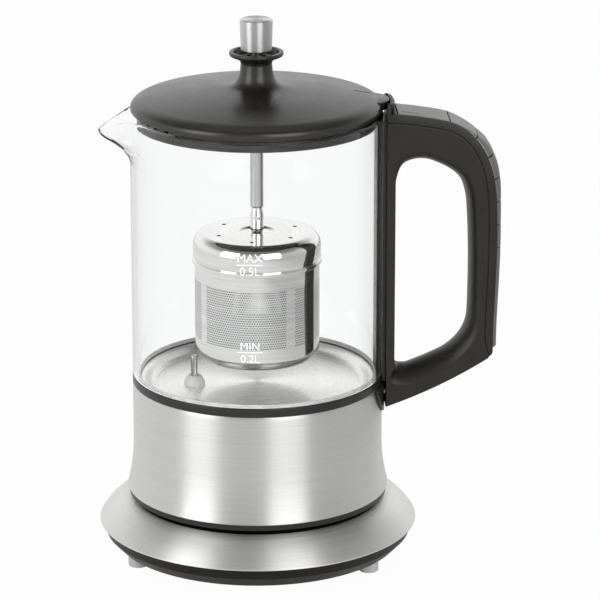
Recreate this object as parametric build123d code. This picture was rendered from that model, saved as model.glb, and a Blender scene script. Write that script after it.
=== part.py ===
from build123d import *
import math
import os

# Automatic tea maker: a glass jug with a heated steel base, a lid with a
# lifting tea filter and a handle with keys, standing on a round cordless base.
# Millimetres. The origin is on the jug's axis at table level, +Z is up,
# the handle points along +X, the spout along -X and the front is -Y.

# ---------------------------------------------------------------- driving sizes
# Clearances
running_gap = 0.05        # shaft in its bush, radial
sliding_gap = 0.3         # between pieces that move past each other
fitted_gap = 0.15         # between pieces that are screwed or clipped together

# Rubber feet
foot_radius = 4.2
foot_height = 4.5
foot_stem_radius = 2.0
foot_inset = 4.3
foot_count = 3
foot_first_angle = 83.5

# Base tray and its steel trim ring
trim_radius = 67.6
trim_edge_height = 0.7
trim_rise = 10.6
trim_top_inset = 13.6
trim_lip = 1.6
trim_sheet = 0.8
trim_bulge_inset = 4.8
trim_bulge_share = 0.57
tray_floor_inset = 6.9
tray_belly_inset = 2.6
tray_belly_share = 0.5
tray_height = 9.0
tray_wall = 2.0

# Base deck, connector and inner fittings
deck_sheet = 2.2
deck_wall_inset = 17.6
deck_wall_sheet = 2.0
base_screw_circle = 40.0
base_screw_shank = 1.5
base_screw_head = 2.9
base_screw_length = 10.0
base_boss_radius = 4.2
connector_radius = 15.5
connector_height = 9.0
connector_pin_bore = 2.6
connector_slot_radius = 7.6
connector_slot_width = 1.4
contact_pin_radius = 1.8
contact_ring_sheet = 0.6
contact_length = 7.0
cord_entry_angle = 143.5
cord_entry_bore = 3.2
gland_radius = 4.0
gland_axis_rise = 4.8
gland_inset = 9.1
gland_length = 7.5
cord_clamp_width = 16.0
cord_clamp_height = 4.0
cord_clamp_length = 6.0
cord_clamp_gap = 1.5

# Kettle: heated steel body
kettle_seat_gap = 2.4
bottom_ring_height = 2.5
skirt_bottom_radius = 55.6
skirt_height = 46.4
skirt_flare_height = 21.0
skirt_sheet = 0.8
jug_radius = 52.8
bottom_cover_sheet = 2.4
plug_radius = 24.0
plug_height = 10.5
plug_wall = 2.0
bottom_screw_circle = 36.0
floor_plate_radius = 43.6
floor_step_width = 2.6
floor_plate_sheet = 1.0
floor_plate_drop = 4.0
spreader_radius = 38.0
spreader_thickness = 3.0
element_radius = 28.0
element_width = 7.0
element_height = 6.0
element_gap_angle = 60.0
element_pin_radius = 1.4
element_pin_length = 9.0
cutout_size = 16.0
cutout_height = 7.0
board_radius = 40.0
board_thickness = 1.6
board_rise = 13.0
relay_length = 18.0
relay_width = 12.0
relay_height = 15.0
relay_x = 15.0
relay_y = -14.0
capacitor_radius = 5.0
capacitor_height = 12.0
capacitor_x = -6.0
capacitor_y = -24.0
buzzer_radius = 6.0
buzzer_height = 7.0
buzzer_x = 10.0
buzzer_y = 20.0
seal_height = 3.8
seal_lip_height = 3.0
seal_lip_width = 1.0

# Temperature probe
probe_x = -26.8
probe_y = -2.6
probe_radius = 1.45
probe_height = 12.0
probe_seal_radius = 4.0
probe_seal_height = 5.3

# Glass jug
glass_wall = 2.2
glass_height = 112.7
spout_reach = 65.8
spout_height = 21.0
spout_tip_radius = 3.0
spout_rim_drop = 6.5

# Lid
lid_radius = 52.5
lid_gap_over_rim = 2.2
lid_edge_thickness = 1.2
lid_edge_rise = 4.2
lid_dome_rise = 8.4
lid_sheet = 2.4
lid_shoulder_radius = 45.0
lid_neck_root_radius = 12.6
lid_neck_radius = 6.66
lid_neck_height = 17.3
lid_skirt_depth = 6.9
lid_skirt_gap = 0.8
lid_skirt_wall = 1.8
lid_tab_reach = 55.4
lid_tab_half_width = 9.0
lid_tab_rise = 2.2
lid_tab_thickness = 2.8
gasket_height = 2.0
collar_radius = 11.35
collar_height = 6.1
collar_dish_depth = 2.2
collar_dish_radius = 9.0
bush_wall = 1.4

# Filter lift: knob, rod, post and cap
knob_top_radius = 6.9
knob_bottom_radius = 6.5
knob_height = 13.0
knob_rest_gap = 0.7
rod_radius = 2.75
rod_grip = 8.0
post_length = 10.6
cap_radius = 27.3
cap_bead_height = 2.0
cap_height = 12.7
cap_top_radius = 20.2
cap_sheet = 0.5
cap_corner_radius = 6.5
cap_hole_circle = 17.4
cap_hole_radius = 0.95
cap_hole_count = 6
cap_hole_first_angle = -6.5

# Tea basket
basket_radius = 26.3
basket_sheet = 0.6
basket_height = 44.3
basket_corner_radius = 4.2
basket_tuck = 0.8
basket_floor_gap = 11.95
lug_count = 3
lug_width = 5.0
lug_height = 1.0

# Handle
handle_width = 21.0
handle_back_x = 53.9
handle_reach = 100.3
handle_top_z = 192.6
handle_tip_z = 88.0
handle_bottom_z = 64.7
handle_tip_thickness = 2.2
handle_tip_overhang = 1.8
arm_sag = 1.0
bar_width = 3.9
finger_top_z = 172.3
finger_right_x = 88.0
finger_bottom_z = 81.2
finger_back_drop = 36.0
finger_top_round = 12.0
finger_back_round = 17.0
finger_grip_round = 60.0
finger_bottom_round = 13.0
grip_round = 4.0
cover_band = 3.6
strip_width = 18.6
strip_crown = [
    (0.0, 0.1),
    (12.0, -0.3),
    (23.0, -0.5),
    (27.0, -0.5),
    (36.0, 1.0),
    (43.0, 2.7),
    (50.0, 3.1),
    (58.0, 2.7),
    (68.0, 1.95),
]
strip_end_fade = 12.0
strip_underside = 0.6
release_underside = 1.2
strip_edge = 0.5
channel_floor = 2.4
head_top_z = 195.8
head_reach = 57.5
head_gap = 0.8
release_key_length = 23.0
release_press_angle = 3.2
release_pivot_depth = 5.0
release_pivot_from_end = 3.0
release_pin_radius = 1.0
release_pin_length = 17.0
release_boss_width = 9.0
release_spring_radius = 2.2
release_spring_wire = 0.5
release_spring_turns = 4
release_spring_x = 63.5
inner_channel_width = 12.0
inner_channel_depth = 8.3
key_count = 5
key_start = 36.0
key_pitch = 9.9
key_gap = 0.35
key_travel = 0.9
stem_radius = 1.5
stem_end_depth = 4.2
switch_size = 4.4
switch_height = 1.6
board_sheet = 1.0
key_board_width = 10.0
spine_width = 17.0
saddle_half_width = 21.0
saddle_drop = 14.4
saddle_sheet = 1.0
handle_screw_radius = 1.5
handle_screw_head = 2.8
handle_screw_length = 9.0
handle_screw_bore_length = 16.0
handle_screw_bore_inset = 6.0

# ---------------------------------------------------------------- worked-out levels
trim_top_radius = trim_radius - trim_top_inset
trim_inner_radius = trim_top_radius - trim_lip
trim_bulge_radius = trim_radius - trim_bulge_inset
tray_floor_radius = trim_radius - tray_floor_inset
tray_belly_radius = trim_radius - tray_belly_inset
foot_circle_radius = tray_floor_radius - foot_inset
deck_wall_radius = trim_radius - deck_wall_inset
gland_start_radius = trim_radius - gland_inset
tray_bottom_z = foot_height
trim_edge_z = tray_bottom_z + tray_height
trim_top_z = trim_edge_z + trim_rise
deck_top_z = trim_top_z - trim_sheet
connector_top_z = deck_top_z + connector_height
kettle_bottom_z = trim_top_z + kettle_seat_gap
skirt_bottom_z = kettle_bottom_z + bottom_ring_height
skirt_top_z = skirt_bottom_z + skirt_height
skirt_top_radius = jug_radius + 0.1
seal_top_z = skirt_top_z + seal_height
rim_z = seal_top_z + fitted_gap + glass_height
lid_edge_z = rim_z + lid_gap_over_rim
inner_radius = jug_radius - glass_wall
plate_rim_z = skirt_top_z + floor_plate_sheet + 1.8
floor_z = plate_rim_z - floor_plate_drop
lid_bottom_z = lid_edge_z - lid_edge_thickness
lid_top_z = lid_edge_z + lid_dome_rise
neck_top_z = lid_edge_z + lid_neck_height
collar_top_z = neck_top_z + collar_height
dish_z = collar_top_z - collar_dish_depth
knob_bottom_z = collar_top_z + knob_rest_gap
knob_top_z = knob_bottom_z + knob_height
basket_bottom_z = floor_z + basket_floor_gap
basket_top_z = basket_bottom_z + basket_height
cap_bottom_z = basket_top_z - cap_bead_height - basket_tuck
cap_top_z = cap_bottom_z + cap_height
rod_bottom_z = cap_top_z + post_length
board_z = skirt_bottom_z + board_rise


# ---------------------------------------------------------------- helpers
def outline(points, rounds=()):
    """A flat closed outline; rounds lists (corner number, radius)."""
    face = make_face(Polyline(*points, close=True))
    for corner, radius in rounds:
        x, y = points[corner]
        vertex = face.vertices().sort_by_distance((x, y, 0))[0]
        face = fillet(vertex, radius)
    return face


def turned(points, rounds=()):
    """A solid of revolution about Z from an outline of (radius, height) points."""
    return revolve(Plane.XZ * outline(points, rounds), Axis.Z)


def ring(outer, inner, bottom, top):
    """A plain ring about Z."""
    return turned([(inner, bottom), (outer, bottom), (outer, top), (inner, top)])


def disc(radius, bottom, top):
    """A plain disc about Z."""
    return Pos(0, 0, bottom) * extrude(Circle(radius), top - bottom)


def pin(radius, x, y, bottom, top):
    """An upright round pin."""
    return Pos(x, y, 0) * disc(radius, bottom, top)


def block(x0, x1, y0, y1, z0, z1):
    """A box between two corners."""
    centre = ((x0 + x1) / 2, (y0 + y1) / 2, (z0 + z1) / 2)
    return Pos(*centre) * Box(x1 - x0, y1 - y0, z1 - z0)


def around(count, first_angle, radius):
    """Places on a circle, evenly spaced."""
    turns = [math.radians(first_angle + 360 * number / count) for number in range(count)]
    return [(radius * math.cos(turn), radius * math.sin(turn)) for turn in turns]


def slab(face, width):
    """A side outline (x, z) given a width across Y."""
    return extrude(Plane.XZ * face, width / 2, both=True)


def screw_up(x, y, seat_z, head_radius, shank_radius, length):
    """A screw driven upwards, its head below the seat."""
    head = pin(head_radius, x, y, seat_z - 1.2, seat_z)
    return head + pin(shank_radius, x, y, seat_z, seat_z + length)


def save(shape, name):
    """Write one node."""
    if isinstance(shape, list):
        shape = Compound(children=shape)
    shape.label = name
    export_step(shape, os.path.join("parts", name + ".step"))


# ---------------------------------------------------------------- base
def trim_ring():
    """Domed steel ring round the base."""
    middle_z = trim_edge_z + trim_edge_height + trim_bulge_share * (trim_rise - trim_edge_height)
    outer_arc = ThreePointArc(
        (trim_radius, trim_edge_z + trim_edge_height),
        (trim_bulge_radius, middle_z),
        (trim_top_radius, trim_top_z),
    )
    outer = outer_arc + Polyline(
        (trim_top_radius, trim_top_z),
        (trim_inner_radius, trim_top_z),
        (trim_inner_radius, trim_top_z - trim_sheet),
        (trim_top_radius, trim_top_z - trim_sheet),
    )
    inner_arc = ThreePointArc(
        (trim_top_radius, trim_top_z - trim_sheet),
        (trim_bulge_radius - 0.7 * trim_sheet, middle_z - 0.7 * trim_sheet),
        (trim_radius - trim_sheet, trim_edge_z + trim_edge_height),
    )
    edge = Polyline(
        (trim_radius - trim_sheet, trim_edge_z + trim_edge_height),
        (trim_radius - trim_sheet, trim_edge_z),
        (trim_radius, trim_edge_z),
        (trim_radius, trim_edge_z + trim_edge_height),
    )
    face = make_face(outer + inner_arc + edge)
    return revolve(Plane.XZ * face, Axis.Z)


def tray():
    """Black tub under the trim ring, with screw holes and the cord entry."""
    rim_radius = trim_radius - trim_sheet - fitted_gap
    rim_top = trim_edge_z + trim_edge_height - fitted_gap
    belly_z = tray_bottom_z + tray_belly_share * tray_height
    body = turned(
        [
            (0, tray_bottom_z),
            (tray_floor_radius, tray_bottom_z),
            (tray_belly_radius, belly_z),
            (rim_radius, trim_edge_z),
            (rim_radius, rim_top),
            (rim_radius - tray_wall, rim_top),
            (tray_belly_radius - tray_wall, belly_z + tray_wall / 2),
            (tray_floor_radius - tray_wall, tray_bottom_z + tray_wall),
            (0, tray_bottom_z + tray_wall),
        ],
    )
    for x, y in around(foot_count, foot_first_angle, foot_circle_radius):
        body -= pin(foot_stem_radius, x, y, 0, trim_edge_z)
    for x, y in around(3, foot_first_angle, base_screw_circle):
        body -= pin(base_screw_shank + fitted_gap, x, y, 0, trim_edge_z)
        body -= pin(base_screw_head + fitted_gap, x, y, 0, tray_bottom_z + tray_wall / 2)
    return body - cord_way(gland_radius + fitted_gap, 2 * gland_length)


def cord_way(radius, length):
    """Round rod along the cord entry's axis, starting inside the tray's wall."""
    rod = Rot(0, 90, 0) * Cylinder(radius, length)
    along = Pos(gland_start_radius + length / 2, 0, tray_bottom_z + gland_axis_rise) * rod
    return Rot(0, 0, cord_entry_angle) * along


def cord_gland():
    """Bush in the tray's wall with the bore for the mains cord."""
    return cord_way(gland_radius, gland_length) - cord_way(cord_entry_bore, 2 * gland_length)


def cord_clamp():
    """Bridge on the tray's floor, just inside the gland, that would hold the cord."""
    floor = tray_bottom_z + tray_wall
    end = gland_start_radius - cord_clamp_gap
    start = end - cord_clamp_length
    half = cord_clamp_width / 2
    bridge = block(start, end, -half, half, floor, floor + cord_clamp_height + cord_entry_bore)
    way = Rot(0, 90, 0) * Cylinder(cord_entry_bore, 2 * cord_clamp_length)
    saddle = Pos(start, 0, tray_bottom_z + gland_axis_rise) * way
    return Rot(0, 0, cord_entry_angle) * (bridge - saddle)


def rubber_feet():
    """Round feet with stems pressed up into the tray."""
    feet = []
    for x, y in around(foot_count, foot_first_angle, foot_circle_radius):
        pad = turned([(0, 0), (foot_radius, 0), (foot_radius, foot_height), (0, foot_height)], [(1, 0.6)])
        feet.append(Pos(x, y, 0) * (pad + disc(foot_stem_radius - 0.05, foot_height, foot_height + 3)))
    return feet


def base_deck():
    """Plate that carries the kettle, with its wall, screw bosses and connector hole."""
    floor = tray_bottom_z + tray_wall
    under = deck_top_z - deck_sheet
    inside_trim = trim_inner_radius - fitted_gap
    deck = turned(
        [
            (connector_radius + fitted_gap, under),
            (deck_wall_radius - deck_wall_sheet, under),
            (deck_wall_radius - deck_wall_sheet, floor),
            (deck_wall_radius, floor),
            (deck_wall_radius, under),
            (trim_top_radius, under),
            (trim_top_radius, deck_top_z),
            (inside_trim, deck_top_z),
            (inside_trim, deck_top_z + trim_sheet),
            (connector_radius + fitted_gap, deck_top_z + trim_sheet),
        ]
    )
    for x, y in around(3, foot_first_angle, base_screw_circle):
        deck += pin(base_boss_radius, x, y, floor, under)
        deck -= pin(base_screw_shank, x, y, 0, floor + base_screw_length)
    return deck


def base_screws():
    """Screws from under the tray into the deck's bosses."""
    seat = tray_bottom_z + tray_wall / 2
    return [
        screw_up(x, y, seat, base_screw_head, base_screw_shank - 0.02, base_screw_length)
        for x, y in around(3, foot_first_angle, base_screw_circle)
    ]


def base_connector():
    """Round cordless connector, with a centre bore and a ring slot for the kettle's contacts."""
    under = deck_top_z - deck_sheet
    body = disc(connector_radius, under - 4, connector_top_z)
    body += ring(connector_radius + 2, connector_radius - 1, under - 2, under)
    body -= disc(connector_pin_bore, under, connector_top_z)
    slot_outer = connector_slot_radius + connector_slot_width / 2
    slot_inner = connector_slot_radius - connector_slot_width / 2
    return body - ring(slot_outer, slot_inner, under, connector_top_z)


def base_contacts():
    """Brass blades under the connector's bore and slot."""
    under = deck_top_z - deck_sheet
    blades = [pin(connector_pin_bore - sliding_gap, 0, 0, under, under + 1.6)]
    blades.append(
        ring(
            connector_slot_radius + connector_slot_width / 2 - 0.2,
            connector_slot_radius - connector_slot_width / 2 + 0.2,
            under,
            under + 1.6,
        )
    )
    return blades


# ---------------------------------------------------------------- kettle body
def skirt_radius(z):
    """Outer radius of the steel body, flared out towards its foot."""
    flare = max(0.0, 1 - (z - skirt_bottom_z) / skirt_flare_height)
    return skirt_top_radius + (skirt_bottom_radius - skirt_top_radius) * flare**2


def steel_skirt():
    """Brushed steel body shell with an inward flange at the top."""
    flare_top = skirt_bottom_z + skirt_flare_height
    flange_inner = floor_plate_radius + floor_step_width + 0.4
    levels = [skirt_bottom_z + skirt_flare_height * step / 4 for step in range(5)]
    outer = Spline(*[(skirt_radius(z), z) for z in levels])
    inner = Spline(*[(skirt_radius(z) - skirt_sheet, z) for z in reversed(levels)])
    upper = Polyline(
        (skirt_top_radius, flare_top),
        (skirt_top_radius, skirt_top_z),
        (flange_inner, skirt_top_z),
        (flange_inner, skirt_top_z - skirt_sheet),
        (skirt_top_radius - skirt_sheet, skirt_top_z - skirt_sheet),
        (skirt_top_radius - skirt_sheet, flare_top),
    )
    foot = Line(
        (skirt_bottom_radius - skirt_sheet, skirt_bottom_z),
        (skirt_bottom_radius, skirt_bottom_z),
    )
    return revolve(Plane.XZ * make_face(outer + upper + inner + foot), Axis.Z)


def bottom_cover():
    """Black underside of the kettle, with a recess over the base's connector."""
    outer = skirt_bottom_radius - skirt_sheet
    top = skirt_bottom_z + bottom_cover_sheet
    inside = skirt_radius(top) - skirt_sheet - fitted_gap
    recess = plug_radius + plug_wall
    body = turned(
        [
            (plug_radius, kettle_bottom_z),
            (outer, kettle_bottom_z),
            (outer, skirt_bottom_z - 0.02),
            (inside, skirt_bottom_z - 0.02),
            (inside, top),
            (inside - 2, top),
            (inside - 2, kettle_bottom_z + bottom_cover_sheet),
            (recess, kettle_bottom_z + bottom_cover_sheet),
            (recess, kettle_bottom_z + plug_height),
            (plug_radius, kettle_bottom_z + plug_height),
        ]
    )
    for x, y in around(3, 30, bottom_screw_circle):
        body -= pin(base_screw_shank + fitted_gap, x, y, kettle_bottom_z - 1, top)
        body -= pin(base_screw_head + 0.3, x, y, kettle_bottom_z - 1, kettle_bottom_z + 1.3)
    return body


def bottom_screws():
    """Screws that hold the kettle's bottom cover to the board carrier."""
    return [
        screw_up(x, y, kettle_bottom_z + 1.3, base_screw_head, base_screw_shank, base_screw_length)
        for x, y in around(3, 30, bottom_screw_circle)
    ]


def board_carrier():
    """Plastic frame inside the steel body that holds the board and takes the screws."""
    low = kettle_bottom_z + bottom_cover_sheet + 0.2
    outer = skirt_radius(board_z) - skirt_sheet - 0.4
    frame = ring(outer, outer - 2, board_z - 2, board_z - 0.1)
    for x, y in around(3, 30, bottom_screw_circle):
        post = pin(base_boss_radius, x, y, low, board_z - 0.1)
        reach = math.hypot(x, y)
        arm = Pos((reach + outer - 1) / 2, 0, board_z - 1.05) * Box(outer - 1 - reach, 6, 1.9)
        frame += post + Rot(0, 0, math.degrees(math.atan2(y, x))) * arm
        frame -= pin(base_screw_shank, x, y, low - 1, low + base_screw_length)
    return frame


def kettle_plug():
    """Kettle half of the cordless connector: a cup over the base's connector."""
    top = connector_top_z + 3
    cup = connector_radius + 0.8
    body = turned(
        [
            (cup, kettle_bottom_z + 1),
            (plug_radius - fitted_gap, kettle_bottom_z + 1),
            (plug_radius - fitted_gap, top + 2),
            (0, top + 2),
            (0, top),
            (cup, top),
        ]
    )
    return body


def plug_contacts():
    """Brass centre pin and ring that reach into the base's connector."""
    top = connector_top_z + 3
    low = top - contact_length - 2
    return [
        disc(contact_pin_radius, low, top),
        ring(
            connector_slot_radius + contact_ring_sheet / 2,
            connector_slot_radius - contact_ring_sheet / 2,
            low,
            top,
        ),
    ]


def floor_plate():
    """Steel floor of the jug: a flat plate in a rim that rises to the seal."""
    under = floor_z - floor_plate_sheet
    outer = inner_radius - seal_lip_width - 0.1
    step = floor_plate_radius + floor_step_width
    step_z = floor_z + 0.6 * (plate_rim_z - floor_z)
    return turned(
        [
            (0, under),
            (floor_plate_radius - 0.4, under),
            (step, skirt_top_z + 0.02),
            (outer, skirt_top_z + 0.02),
            (outer, plate_rim_z),
            (step, step_z),
            (floor_plate_radius, floor_z),
            (0, floor_z),
        ]
    ) - pin(probe_radius + 0.5, probe_x, probe_y, under - 1, floor_z + 1)


def heat_spreader():
    """Aluminium disc under the floor plate."""
    top = floor_z - floor_plate_sheet
    body = disc(spreader_radius, top - spreader_thickness, top)
    return body - pin(probe_seal_radius, probe_x, probe_y, top - 9, top + 1)


def heating_element():
    """Tubular element bent into an open ring, with its two cold pins."""
    top = floor_z - floor_plate_sheet - spreader_thickness
    half = element_gap_angle / 2
    probe_turn = math.degrees(math.atan2(probe_y, probe_x))
    centre = Pos(element_radius, top - element_height / 2)
    section = Plane.XZ * centre * Rectangle(element_width, element_height)
    arc = revolve(section, Axis.Z, 360 - element_gap_angle)
    body = Rot(0, 0, half) * arc
    for turn in (half + 5, -half - 5):
        x = element_radius * math.cos(math.radians(turn))
        y = element_radius * math.sin(math.radians(turn))
        body += pin(element_pin_radius, x, y, top - element_height - element_pin_length, top - 1)
    return Rot(0, 0, probe_turn) * body


def thermal_cutout():
    """Bimetal cut-out clipped under the spreader."""
    top = floor_z - floor_plate_sheet - spreader_thickness
    half = cutout_size / 2
    body = block(-half, half, -half, half, top - cutout_height, top)
    for y in (-half - 2.5, half - 0.5):
        body += block(-2.5, 2.5, y, y + 3, top - cutout_height + 1, top - cutout_height + 2)
    return body


def control_board():
    """Round circuit board with its relay, capacitor and buzzer."""
    body = disc(board_radius, board_z, board_z + board_thickness)
    top = board_z + board_thickness
    x0 = relay_x - relay_length / 2
    y0 = relay_y - relay_width / 2
    relay = block(x0, x0 + relay_length, y0, y0 + relay_width, top, top + relay_height)
    capacitor = pin(capacitor_radius, capacitor_x, capacitor_y, top, top + capacitor_height)
    buzzer = pin(buzzer_radius, buzzer_x, buzzer_y, top, top + buzzer_height)
    return body + relay + capacitor + buzzer


def probe():
    """Temperature probe that stands up through the jug's floor."""
    low = floor_z - floor_plate_sheet - 8
    body = pin(probe_radius, probe_x, probe_y, low, floor_z + probe_height)
    return fillet(body.edges().sort_by(Axis.Z)[-1], 0.7)


def probe_seal():
    """Silicone grommet round the probe."""
    top = floor_z + probe_seal_height
    low = floor_z - floor_plate_sheet
    body = turned(
        [
            (probe_radius, low),
            (probe_radius + 0.5 - 0.02, low),
            (probe_radius + 0.5 - 0.02, floor_z),
            (probe_seal_radius, floor_z),
            (probe_seal_radius, top),
            (probe_radius, top),
        ],
        [(4, 0.8)],
    )
    return Pos(probe_x, probe_y, 0) * body


def glass_seal():
    """Black ring that carries the glass, with a lip inside it."""
    lip_outer = inner_radius - 0.03
    lip_inner = lip_outer - seal_lip_width
    return turned(
        [
            (lip_inner, skirt_top_z + 0.02),
            (skirt_top_radius, skirt_top_z + 0.02),
            (skirt_top_radius, seal_top_z),
            (lip_outer, seal_top_z),
            (lip_outer, seal_top_z + seal_lip_height),
            (lip_inner, seal_top_z + seal_lip_height),
        ],
        [(2, 0.5)],
    )


# ---------------------------------------------------------------- glass jug
def spout_profile():
    """(reach, height) of the spout's underside, from the wall out to the lip."""
    stick_out = spout_reach - jug_radius
    low = rim_z - spout_height
    shares = [(0.004, 0.0), (0.08, 0.19), (0.25, 0.33), (0.5, 0.43), (0.8, 0.485), (0.96, 0.54), (1.0, 0.66)]
    return [(jug_radius + stick_out * out, low + spout_height * up) for out, up in shares]


def plan_section(radius, reach, tip_radius, z):
    """Plan outline of a circle drawn out to a rounded tip towards -X."""
    centre = reach - tip_radius
    turn = math.acos(min(0.9999, (radius - tip_radius) / centre))
    flank = (-radius * math.cos(turn), radius * math.sin(turn))
    tip = (-centre - tip_radius * math.cos(turn), tip_radius * math.sin(turn))
    edges = ThreePointArc((flank[0], flank[1]), (radius, 0), (flank[0], -flank[1]))
    edges += Line((flank[0], -flank[1]), (tip[0], -tip[1]))
    edges += ThreePointArc((tip[0], -tip[1]), (-reach, 0), tip)
    edges += Line(tip, flank)
    return Pos(0, 0, z) * make_face(edges)


def spout_body(wall):
    """Solid spout and the jug round it; wall insets it for the inside."""
    sections = []
    for reach, z in spout_profile() + [(spout_reach, rim_z + spout_rim_drop)]:
        blunt = spout_tip_radius + 14 * (spout_reach - reach) / (spout_reach - jug_radius)
        inset_reach = max(reach - wall, jug_radius - wall + 0.02)
        lift = wall * (reach - jug_radius) / (spout_reach - jug_radius)
        sections.append(plan_section(jug_radius - wall, inset_reach, max(1.2, blunt - wall), z + lift))
    return loft(sections, ruled=True)


def rim_cutter():
    """Everything above the rim, which dips towards the spout's tip."""
    stick_out = spout_reach - jug_radius
    over = rim_z + spout_height
    past_tip = (-spout_reach - 0.08 * stick_out, rim_z - 1.06 * spout_rim_drop)
    dip = Spline(
        (-inner_radius, rim_z),
        (-jug_radius - 0.41 * stick_out, rim_z - 0.31 * spout_rim_drop),
        (-jug_radius - 0.77 * stick_out, rim_z - 0.67 * spout_rim_drop),
        past_tip,
    )
    above = Polyline(
        past_tip,
        (past_tip[0], over),
        (jug_radius + glass_wall, over),
        (jug_radius + glass_wall, rim_z),
        (-inner_radius, rim_z),
    )
    return slab(make_face(dip + above), 3 * jug_radius)


def glass_jug():
    """Open glass jug with its pouring spout."""
    bottom = seal_top_z + fitted_gap
    outside = disc(jug_radius, bottom, rim_z + 2 * glass_wall) + spout_body(0)
    inside = disc(inner_radius, bottom - glass_wall, rim_z + 3 * glass_wall) + spout_body(glass_wall)
    return outside - inside - rim_cutter()


# ---------------------------------------------------------------- lid
def lid_tab(reach, half_width, bottom, top):
    """Rounded tongue on the lid's edge, towards the handle."""
    root = lid_radius - 4
    edges = ThreePointArc((root, -half_width - 1), (reach, 0), (root, half_width + 1))
    edges += Line((root, half_width + 1), (root, -half_width - 1))
    return Pos(0, 0, bottom) * extrude(make_face(edges), top - bottom)


def lid_shell():
    """Domed lid with its neck and the tab at the handle."""
    edge = lid_edge_z
    bore = rod_radius + running_gap + bush_wall
    mid_radius = (lid_shoulder_radius + lid_neck_root_radius) / 2
    dome = Spline(
        (lid_radius, edge - 0.3),
        (lid_radius - 1.2, edge + 0.45 * lid_edge_rise),
        (lid_shoulder_radius, edge + lid_edge_rise),
        (mid_radius, edge + 0.5 * (lid_edge_rise + lid_dome_rise) + 0.6),
        (lid_neck_root_radius, lid_top_z),
    )
    neck = Spline(
        (lid_neck_root_radius, lid_top_z),
        (lid_neck_radius + 1.4, lid_top_z + 3.0),
        (lid_neck_radius, neck_top_z),
        tangents=[(-1, 0.25), (0, 1)],
    )
    inside = Polyline(
        (lid_neck_radius, neck_top_z),
        (bore, neck_top_z),
        (bore, lid_top_z - lid_sheet),
        (lid_neck_root_radius, lid_top_z - lid_sheet),
        (lid_shoulder_radius, edge + lid_edge_rise - lid_sheet),
        (lid_radius - lid_sheet, lid_bottom_z),
        (lid_radius - 0.8, lid_bottom_z),
        (lid_radius, edge - 0.3),
    )
    shell = revolve(Plane.XZ * make_face(dome + neck + inside), Axis.Z)
    low = edge + lid_tab_rise - lid_tab_thickness
    tab = lid_tab(lid_tab_reach, lid_tab_half_width, low, edge + lid_tab_rise)
    return shell + tab


def lid_inner():
    """Skirt and plate under the lid, with pouring slots towards the spout."""
    outer = inner_radius - lid_skirt_gap
    inner = outer - lid_skirt_wall
    low = lid_edge_z - lid_skirt_depth
    top = lid_bottom_z + 0.05
    bore = rod_radius + running_gap + bush_wall
    body = turned(
        [
            (inner, low),
            (outer, low),
            (outer, top),
            (inner, top),
            (inner, low + 3.2),
            (bore, low + 3.2),
            (bore, low + 1.6),
            (inner, low + 1.6),
        ]
    )
    for turn in range(-40, 41, 8):
        slot = Pos(-outer, 0, (low + 3.4 + top) / 2) * Box(10, 2.6, top - low - 4.4)
        body -= Rot(0, 0, turn) * slot
    return body


def lid_gasket():
    """Silicone lip round the skirt, left out at the spout."""
    outer = inner_radius - sliding_gap
    inner = inner_radius - lid_skirt_gap
    low = lid_edge_z - lid_skirt_depth + 1.0
    centre = Pos((outer + inner) / 2, low + gasket_height / 2)
    section = Plane.XZ * centre * Rectangle(outer - inner, gasket_height)
    return Rot(0, 0, -134) * revolve(section, Axis.Z, 268)


def lid_collar():
    """Flared collar with a dished top, screwed on the neck."""
    bore = rod_radius + sliding_gap
    flare = Spline(
        (lid_neck_radius, neck_top_z + 1.2),
        (lid_neck_radius + 1.5, neck_top_z + 0.55 * collar_height),
        (collar_radius - 0.3, collar_top_z - 1.0),
    )
    rest = Polyline(
        (collar_radius - 0.3, collar_top_z - 1.0),
        (collar_radius, collar_top_z - 0.6),
        (collar_radius - 0.3, collar_top_z),
        (collar_dish_radius, dish_z + 0.7),
        (knob_bottom_radius, dish_z),
        (bore, dish_z),
        (bore, neck_top_z + 0.02),
        (lid_neck_radius - 0.3, neck_top_z + 0.02),
        (lid_neck_radius, neck_top_z + 1.2),
    )
    return revolve(Plane.XZ * make_face(flare + rest), Axis.Z)


def rod_bush():
    """Guide sleeve for the rod, through the neck."""
    inner = rod_radius + running_gap
    low = lid_edge_z - lid_skirt_depth + 0.6
    body = ring(inner + bush_wall, inner, low, neck_top_z)
    return body + ring(inner + bush_wall + 2, inner, low, low + 0.95)


# ---------------------------------------------------------------- filter lift
def lift_knob():
    """Tapered metal knob."""
    body = turned(
        [
            (0, knob_bottom_z + rod_grip),
            (rod_radius, knob_bottom_z + rod_grip),
            (rod_radius, knob_bottom_z),
            (knob_bottom_radius, knob_bottom_z),
            (knob_top_radius, knob_top_z),
            (0, knob_top_z),
        ],
        [(4, 0.6), (3, 0.3)],
    )
    return body


def lift_rod():
    """Round rod from the knob down to the post."""
    return disc(rod_radius, rod_bottom_z, knob_bottom_z + rod_grip)


def rod_post():
    """Polished post between the rod and the cap, with a groove at its top."""
    groove = 0.8
    return turned(
        [
            (0, cap_top_z - 3.4),
            (rod_radius - 0.8, cap_top_z - 3.4),
            (rod_radius - 0.8, cap_top_z - 0.6),
            (rod_radius, cap_top_z - 0.6),
            (rod_radius, rod_bottom_z - groove),
            (rod_radius - 0.6, rod_bottom_z - groove),
            (rod_radius - 0.6, rod_bottom_z),
            (0, rod_bottom_z),
        ]
    )


def post_nut():
    """Hexagon nut under the cap."""
    hexagon = RegularPolygon(4.2, 6, major_radius=False)
    nut = Pos(0, 0, cap_top_z - 3.2) * extrude(hexagon, 3.2 - 0.6 - cap_sheet)
    return nut - disc(rod_radius - 0.8, cap_top_z - 4, cap_top_z)


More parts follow.
